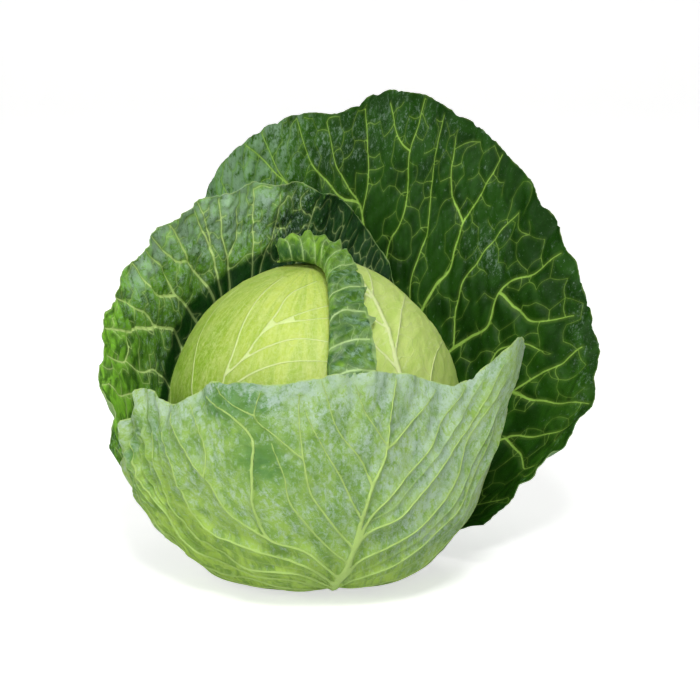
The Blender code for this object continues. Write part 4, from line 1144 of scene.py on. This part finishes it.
wrapperLeaf = dict(
    gap=2.4, wander=0, seed=11, ragged=1.6, ruffle=1.1, fineRuffle=0.15, pleat=1.5, wrinkle=0.34,
    # lobes of the turned margin: (part of the way up, reach, how far out)
    lobes=((0.5, 0.011, 5.0), (0.535, 0.009, -2.0), (0.625, 0.006, -3.0)),
    # (fold point, far margin point, width turned back past the fold, radius of the roll)
    stations=(
        ((10, -17, 18), (20, 3, 18), 1, 3.2), ((19, -52, 35), (60, 5, 37), 7, 3.2),
        ((16, -77, 63), (78, 12, 65), 24, 3.2), ((13, -86, 98), (86, 8, 96), 36, 3.2),
        ((12, -76, 137), (82, 3, 126), 35, 3.2), ((13, -60, 162), (72, 0, 148), 32, 3.4),
        ((13, -40, 178), (56, 2, 168), 31, 4.2), ((11, -21, 187), (34, 22, 179), 34, 6.0),
        ((4, -6, 189), (4, 38, 179), 36, 7.5), ((-7, 3, 188), (-9, 32, 180), 33, 7.5),
        ((-18, 10, 186), (-20, 24, 183), 20, 6.0),
    ),
    crease=0.9, creaseReach=1.0, ribRise=1.2,
    # here the patches lie at (part of the way up, millimetres past the fold)
    deep=(0.4, (
        # the patch at 0.93 up, just past the fold, is painted shade on the collar's inner face under its rim
        (0.45, -18, 0.3, 24, 0.45), (0.93, -2, 0.1, 16, 0.9),
        (0.9, -30, 0.12, 12, -0.5), (0.5, -38, 0.016, 5, 0.9),
    )),
    bloom=(0.3, ((0.9, -10, 0.12, 20, -0.6), (0.4, -26, 0.3, 10, 0.3))),
    veins=(
        (2.0, 0.5, ((0.0, 0.5), (0.2, 0.42), (0.45, 0.36), (0.7, 0.32), (0.9, 0.4))),
        *crossingVeins(),
        (0.7, 0.3, ((0.15, 0.44), (0.26, 0.62), (0.32, 0.9))),
        (0.7, 0.3, ((0.28, 0.4), (0.4, 0.62), (0.46, 0.92))),
        (0.7, 0.3, ((0.42, 0.36), (0.53, 0.6), (0.6, 0.92))),
        (0.7, 0.3, ((0.56, 0.34), (0.66, 0.6), (0.73, 0.92))),
        (0.6, 0.3, ((0.7, 0.32), (0.79, 0.6), (0.85, 0.92))),
    ),
    net=dict(cell=11, thin=0.12, thick=0.35, grow=0.3, tone=0.6, open=0.4),
    upper=dict(
        pale=(0.32, 0.62, 0.03), deep=(0.010, 0.080, 0.004), drift=((0.008, 0.075, 0.004), 7.0, 0.7),
        fleck=((0.16, 0.34, 0.08), 1.8, 0.15), net=((0.25, 0.45, 0.15), 3.4, 0.12, 0.3),
        bloom=((0.34, 0.54, 0.40), 3.0, 0.75, 0.2), vein=((0.50, 0.72, 0.28), 0.1, 0.28, 0.95), halo=0.35,
        rim=((0.34, 0.5, 0.18), 0.6), rough=(0.36, 0.5), relief=(-0.4, 0.3, 0.3), gloss=0.4, glow=0.04,
    ),
    under=dict(
        pale=(0.78, 0.92, 0.30), deep=(0.38, 0.62, 0.07), drift=((0.50, 0.72, 0.12), 9.0, 0.6),
        fleck=((0.66, 0.74, 0.3), 2.6, 0.25), net=((0.62, 0.74, 0.28), 4.0, 0.1, 0.25),
        bloom=((0.84, 0.92, 0.58), 4.0, 0.55, 0.5), vein=((0.78, 0.90, 0.42), 0.0, 0.3, 0.9), halo=0.15,
        rim=((0.3, 0.48, 0.1), 0.7), rough=(0.4, 0.5), relief=(0.8, 0.3, 0.6), gloss=0.35, glow=0.1,
    ),
)


def withFolds(leaf):
    # the leaf's own veins, and the fainter folds between neighbouring side veins
    own = leaf["veins"]
    folds = [(0.5, 0.45, between(own[a][2], own[b][2], share), 0.4) for a, b, share in leaf.get("folds", ())]
    return (*own, *folds)


pieces = {}
for node, leaf, kind in (("front_leaf", frontLeaf, OpenLeaf), ("left_leaf", leftLeaf, OpenLeaf),
                         ("back_leaf", backLeaf, OpenLeaf), ("wrapper_leaf", wrapperLeaf, WrapperLeaf)):
    leaf["veins"] = withFolds(leaf)
    sides = [leafMaterial(node.replace("_", " ") + " " + side, leaf[side]) for side in ("upper", "under")]
    pieces[node] = growLeaf(node + "_blade", kind(leaf), sides)

heartSkin = dict(
    step=2.2, crease=0.45, relief=0.5, sunk=0.6, foot=8.5, footPoints=40, flatter=(0.012, 1.2),
    # (half width at the start, at the end, route of (azimuth from the front, angle up from the foot))
    veins=(
        (1.5, 0.55, ((-26, 20), (-34, 60), (-39, 95), (-40, 118))),
        (0.7, 0.35, ((-40, 118), (-33, 126), (-28, 136), (-13, 145), (14, 151))),
        (0.6, 0.35, ((-28, 136), (-23, 146), (-20, 156), (10, 166))),
        (0.65, 0.35, ((-40, 118), (-40, 129), (-43, 140), (-46, 152), (-52, 167))),
        (0.65, 0.35, ((-38, 90), (-57, 108), (-63, 118), (-74, 130), (-80, 140), (-88, 153))),
        (0.6, 0.35, ((-36, 75), (-72, 95), (-88, 106), (-96, 122), (-104, 140))),
        (0.6, 0.35, ((-34, 125), (-22, 132), (-8, 136), (14, 134))),
        (0.5, 0.3, ((-18, 142), (-5, 144), (14, 145))),
        (0.7, 0.35, ((-39, 110), (-28, 120), (-14, 126), (10, 127))),
        (0.6, 0.35, ((-37, 92), (-24, 108), (-8, 116), (12, 118))),
        (0.6, 0.35, ((-36, 80), (-20, 95), (0, 106), (16, 108))),
    ),
    turns=(0, 118, 236),
    look=dict(
        pale=(0.53, 0.67, 0.095), deep=(0.22, 0.40, 0.01), drift=((0.24, 0.44, 0.02), 12.0, 0.45),
        fleck=((0.66, 0.78, 0.30), 3.0, 0.3), net=((0.66, 0.80, 0.32), 5.0, 0.08, 0.3),
        bloom=((0.72, 0.82, 0.32), 3.5, 0.5, 0.6), vein=((0.74, 0.87, 0.38), 0.05, 0.3, 0.95), halo=0.05,
        rim=((0.3, 0.48, 0.1), 0.0), rough=(0.36, 0.46), relief=(0.7, 0.25, 0.8), gloss=0.35, glow=0.12,
    ),
)


def onSkin(azimuth, rise):
    azimuth, rise = np.radians(np.asarray(azimuth, float)), np.radians(np.asarray(rise, float))
    way = np.stack([np.sin(azimuth) * np.sin(rise), -np.cos(azimuth) * np.sin(rise), -np.cos(rise)], axis=-1)
    return head["centre"] + way * nearHead


def heartVeins(skin):
    field, rows = VeinField(size=3), []
    for turn in skin["turns"]:
        for wideStart, wideEnd, route in skin["veins"]:
            azimuth, rise = np.array(route, float).T
            curve = onHead(curveAlong(onSkin(azimuth + turn, rise), skin["step"]), 0)
            wide = wideEnd + (wideStart - wideEnd) * (1 - np.linspace(0, 1, len(curve))) ** 1.2
            field.add(curve, wide, np.clip(0.6 + 0.4 * wide, 0, 1))
            rows.append(curve)
    return field, rows


def skinPoints(skin, field, rows):
    # a ring round the foot, the veins, and points spread evenly between them, with the links to keep
    count = int(4 * math.pi * head["radius"] ** 2 / (skin["step"] ** 2 * 0.9))
    k = np.arange(count) + 0.5
    height = 1 - 2 * k / count
    turn = math.pi * (1 + 5**0.5) * k
    wide = np.sqrt(1 - height**2)
    fill = np.stack([wide * np.cos(turn), wide * np.sin(turn), height], axis=-1)
    fill = onHead(head["centre"] + fill * nearHead, 0)
    rise = np.degrees(np.arctan2(np.hypot(fill[:, 0], fill[:, 1]), head["centre"][2] - fill[:, 2]))
    fill = fill[(rise >= 9) & (field.near(fill)[:, 0] > meshing["fillToVein"] * skin["step"])]
    at = skin["footPoints"]
    points = [onHead(onSkin(np.linspace(0, 360, at, endpoint=False), np.full(at, skin["foot"])), 0)]
    links = [(j, (j + 1) % at) for j in range(at)]
    for curve in rows:
        links += [(at + j, at + j + 1) for j in range(len(curve) - 1)]
        points.append(curve)
        at += len(curve)
    return np.concatenate(points + [fill]), links


def spreadMesh(points, links, scale=60):
    # the head's skin spread flat from its top, split into triangles there and laid back on the head
    q = unit((points - head["centre"]) / headRadii(points - head["centre"], 0))
    spread = scale * q[:, :2] / (1 + q[:, 2:3])
    flat, faces = triangulate(spread.tolist(), links, 1, 1e-6)
    flat = flat / scale
    size = np.sum(flat**2, axis=1)
    ball = np.stack([2 * flat[:, 0], 2 * flat[:, 1], 1 - size], axis=-1) / (1 + size)[:, None]
    return head["centre"] + ball * headRadii(ball, 0), faces


def growHeart():
    skin = heartSkin
    field, rows = heartVeins(skin)
    surface, faces = spreadMesh(*skinPoints(skin, field, rows))
    near = field.near(surface, 1.2)
    outward = unit(surface - head["centre"])
    # not quite round: a little flatter at the upper left, fuller on the right
    amount, turn = skin["flatter"]
    around = np.arctan2(surface[:, 0], -surface[:, 1])
    surface[:, :2] *= (1 - amount * (1 + np.cos(2 * around + turn)))[:, None]
    swell = rolling(surface[:, [0, 2]] + surface[:, [1, 1]] * 0.6, 4, (60, 34), 0.35)
    swell += rolling(surface[:, [2, 0]] - surface[:, [1, 1]] * 0.5, 9, (21, 12, 7), 0.2)
    lift = swell + skin["crease"] * near[:, 3] + skin["relief"] * near[:, 4] - skin["sunk"]
    surface = surface + outward * lift[:, None]
    faces = facingOut(surface, faces, outward)
    # the foot is closed over the stem
    edge = boundary(faces)
    ring, after = [int(edge[0][0])], dict(edge.tolist())
    while after[ring[-1]] != ring[0]:
        ring.append(after[ring[-1]])
    rise = np.degrees(np.arctan2(np.hypot(outward[:, 0], outward[:, 1]), -outward[:, 2]))
    azimuth = np.degrees(np.arctan2(outward[:, 0], -outward[:, 1]))
    # painted light and shade: paler towards the top and the front, as if lit there, and darker on the left,
    # as if in shade
    deep = 0.55 - 0.5 * smoothStep(105, 150, rise) - 0.25 * hump(azimuth, -5, 30)
    deep = np.clip(deep + 0.5 * hump(azimuth, -72, 32), 0, 1)
    everywhere = np.ones(len(surface))
    marks = dict(
        veinEdge=near[:, 1], veinTone=near[:, 2], toMargin=50 * everywhere, deep=deep, bloom=0.6 * everywhere,
        leafFlat=surface, leafRay=np.stack([azimuth * 1.3, rise * 0.4, 0 * rise], axis=-1),
    )
    allFaces = faces.tolist() + [ring[::-1]]
    made = leafMaterial("heart skin", skin["look"])
    return meshOf("heart_skin", surface, allFaces, [0] * len(allFaces), [made], marks)


pieces["heart"] = growHeart()

stemStalk = dict(
    # (radius, height) up the side
    profile=((17.6, 0.0), (18.8, 1.2), (18.4, 7.0), (17.4, 12.5), (15.5, 15.2)), around=96, rings=14,
    middle=1.5, ripple=0.012, skin=(0.50, 0.60, 0.24), skinFibre=(0.62, 0.68, 0.36), cut=(0.72, 0.74, 0.50),
    pith=(0.80, 0.80, 0.62), ring=(0.56, 0.62, 0.32), ringFrom=(11.0, 13.5), ringTo=(15.5, 13.8),
)


def stemMaterial(stalk):
    made, tree, paint = startMaterial("stem")
    fibre = ramp(tree, noise(tree, 0.9, 3.0, 0.3), 0.4, 0.65)
    # the cut shows the pith, and a greener ring just inside the skin
    ring = ramp(tree, marked(tree, "fromCentre"), *stalk["ringFrom"])
    ring = times(tree, ring, ramp(tree, marked(tree, "fromCentre"), *stalk["ringTo"]))
    cut = blend(tree, times(tree, fibre, 0.5), stalk["pith"], stalk["cut"])
    cut = blend(tree, times(tree, ring, 0.6), cut, stalk["ring"])
    side = blend(tree, times(tree, fibre, 0.4), stalk["skin"], stalk["skinFibre"])
    feed(tree, paint["Base Color"], blend(tree, marked(tree, "onSide"), cut, side))
    feed(tree, paint["Roughness"], ramp(tree, fibre, 0.0, 1.0, (0.45, 0.62)))
    feed(tree, paint["Normal"], addBump(tree, fibre, 0.0005))
    return made


def growStem():
    stalk, n = stemStalk, stemStalk["around"]
    rows = [(radius, 0.0) for radius in np.linspace(stalk["middle"], stalk["profile"][0][0], stalk["rings"])]
    rows += [*stalk["profile"][1:], (10.0, 15.5), (stalk["middle"], 15.5)]
    around = np.linspace(0, 2 * math.pi, n, endpoint=False)
    points = []
    for radius, z in rows:
        ripple = stalk["ripple"] * np.sin(7 * around + 1) * smoothStep(8, 17, radius)
        ripple = 1 + ripple * smoothStep(0.3, 3, z)
        points.append(np.stack([radius * ripple * np.sin(around), -radius * ripple * np.cos(around),
                                np.full(n, z)], axis=-1))
    points = np.concatenate(points)
    corners = [(r * n, k, (k + 1) % n) for r in range(len(rows) - 1) for k in range(n)]
    faces = [[at + k, at + m, at + n + m, at + n + k] for at, k, m in corners]
    faces += [list(range(n))[::-1], [(len(rows) - 1) * n + k for k in range(n)]]
    marks = dict(fromCentre=np.hypot(points[:, 0], points[:, 1]), onSide=smoothStep(0.2, 1.0, points[:, 2]),
                 leafFlat=points)
    return meshOf("stem_stalk", points, faces, [0] * len(faces), [stemMaterial(stalk)], marks, 40)


pieces["stem"] = growStem()

for node, piece in pieces.items():
    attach(piece, "root")
    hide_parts(node)
print("pieces ride on the frame")

# metres: the floor runs back from `front` and curves up into a wall
studio = dict(
    elevation=16.0, distance=1.384, target=(0.023, 0.0, 0.138), lens=120, sensor=36, clip=30,
    floorColour=(0.86, 0.86, 0.85), floorGlow=0.62, floorRough=0.7, world=0.24,
    floorHalf=6.0, front=-4.0, bendAt=1.6, bend=0.9, wallTop=5.0, below=0.0004,
    # (place, aim, size, watts)
    lights=dict(
        key=((0.1, -1.2, 1.6), (0.0, 0.0, 0.12), 0.5, 21),
        fill=((-1.3, -1.1, 0.8), (0.02, 0.0, 0.12), 1.0, 9),
        top=((0.3, 0.2, 1.7), (0.0, 0.0, 0.15), 0.8, 4),
    ),
)


def addFloor():
    bend, wall = studio["bend"], studio["bendAt"] + studio["bend"]
    sweep = [(studio["front"], 0.0)]
    for a in np.linspace(0, math.pi / 2, 24):
        sweep.append((studio["bendAt"] + bend * math.sin(a), bend - bend * math.cos(a)))
    sweep.append((wall, studio["wallTop"]))
    half = studio["floorHalf"]
    points = [(x, y, z - studio["below"]) for y, z in sweep for x in (-half, half)]
    mesh = bpy.data.meshes.new("floor")
    mesh.from_pydata(points, [], [(k, k + 1, k + 3, k + 2) for k in range(0, len(points) - 2, 2)])
    mesh.shade_smooth()
    made, tree, paint = startMaterial("floor")
    # it glows to the camera alone, so that it reads as a white backdrop and still takes shadows
    seen = addNode(tree, "ShaderNodeLightPath").outputs["Is Camera Ray"]
    feed(tree, paint["Base Color"], studio["floorColour"])
    feed(tree, paint["Roughness"], studio["floorRough"])
    feed(tree, paint["Emission Color"], (1, 1, 1))
    feed(tree, paint["Emission Strength"], times(tree, seen, studio["floorGlow"]))
    mesh.materials.append(made)
    addObject("floor", mesh)


def addLight(name, spot, target, size, power):
    light = bpy.data.lights.new(name, "AREA")
    light.shape, light.size, light.energy = "DISK", size, power
    obj = addObject(name, light)
    obj.location = spot
    way = np.array(target) - np.array(spot)
    obj.rotation_euler = (math.atan2(math.hypot(way[0], way[1]), -way[2]), 0, math.atan2(-way[0], way[1]))


def addCamera():
    camera = bpy.data.cameras.new("camera")
    camera.lens, camera.sensor_width, camera.clip_end = studio["lens"], studio["sensor"], studio["clip"]
    obj = addObject("camera", camera)
    tilt, (x, y, z) = math.radians(studio["elevation"]), studio["target"]
    obj.location = (x, y - studio["distance"] * math.cos(tilt), z + studio["distance"] * math.sin(tilt))
    obj.rotation_euler = (math.pi / 2 - tilt, 0, 0)
    bpy.context.scene.camera = obj


addFloor()
for name, settings in studio["lights"].items():
    addLight(name, *settings)
world = bpy.data.worlds.new("studio")
world.use_nodes = True
background = world.node_tree.nodes["Background"].inputs
feed(world.node_tree, background["Color"], (1, 1, 1))
feed(world.node_tree, background["Strength"], studio["world"])
bpy.context.scene.world = world
bpy.context.scene.view_settings.view_transform = "Standard"
addCamera()
print("studio ready")
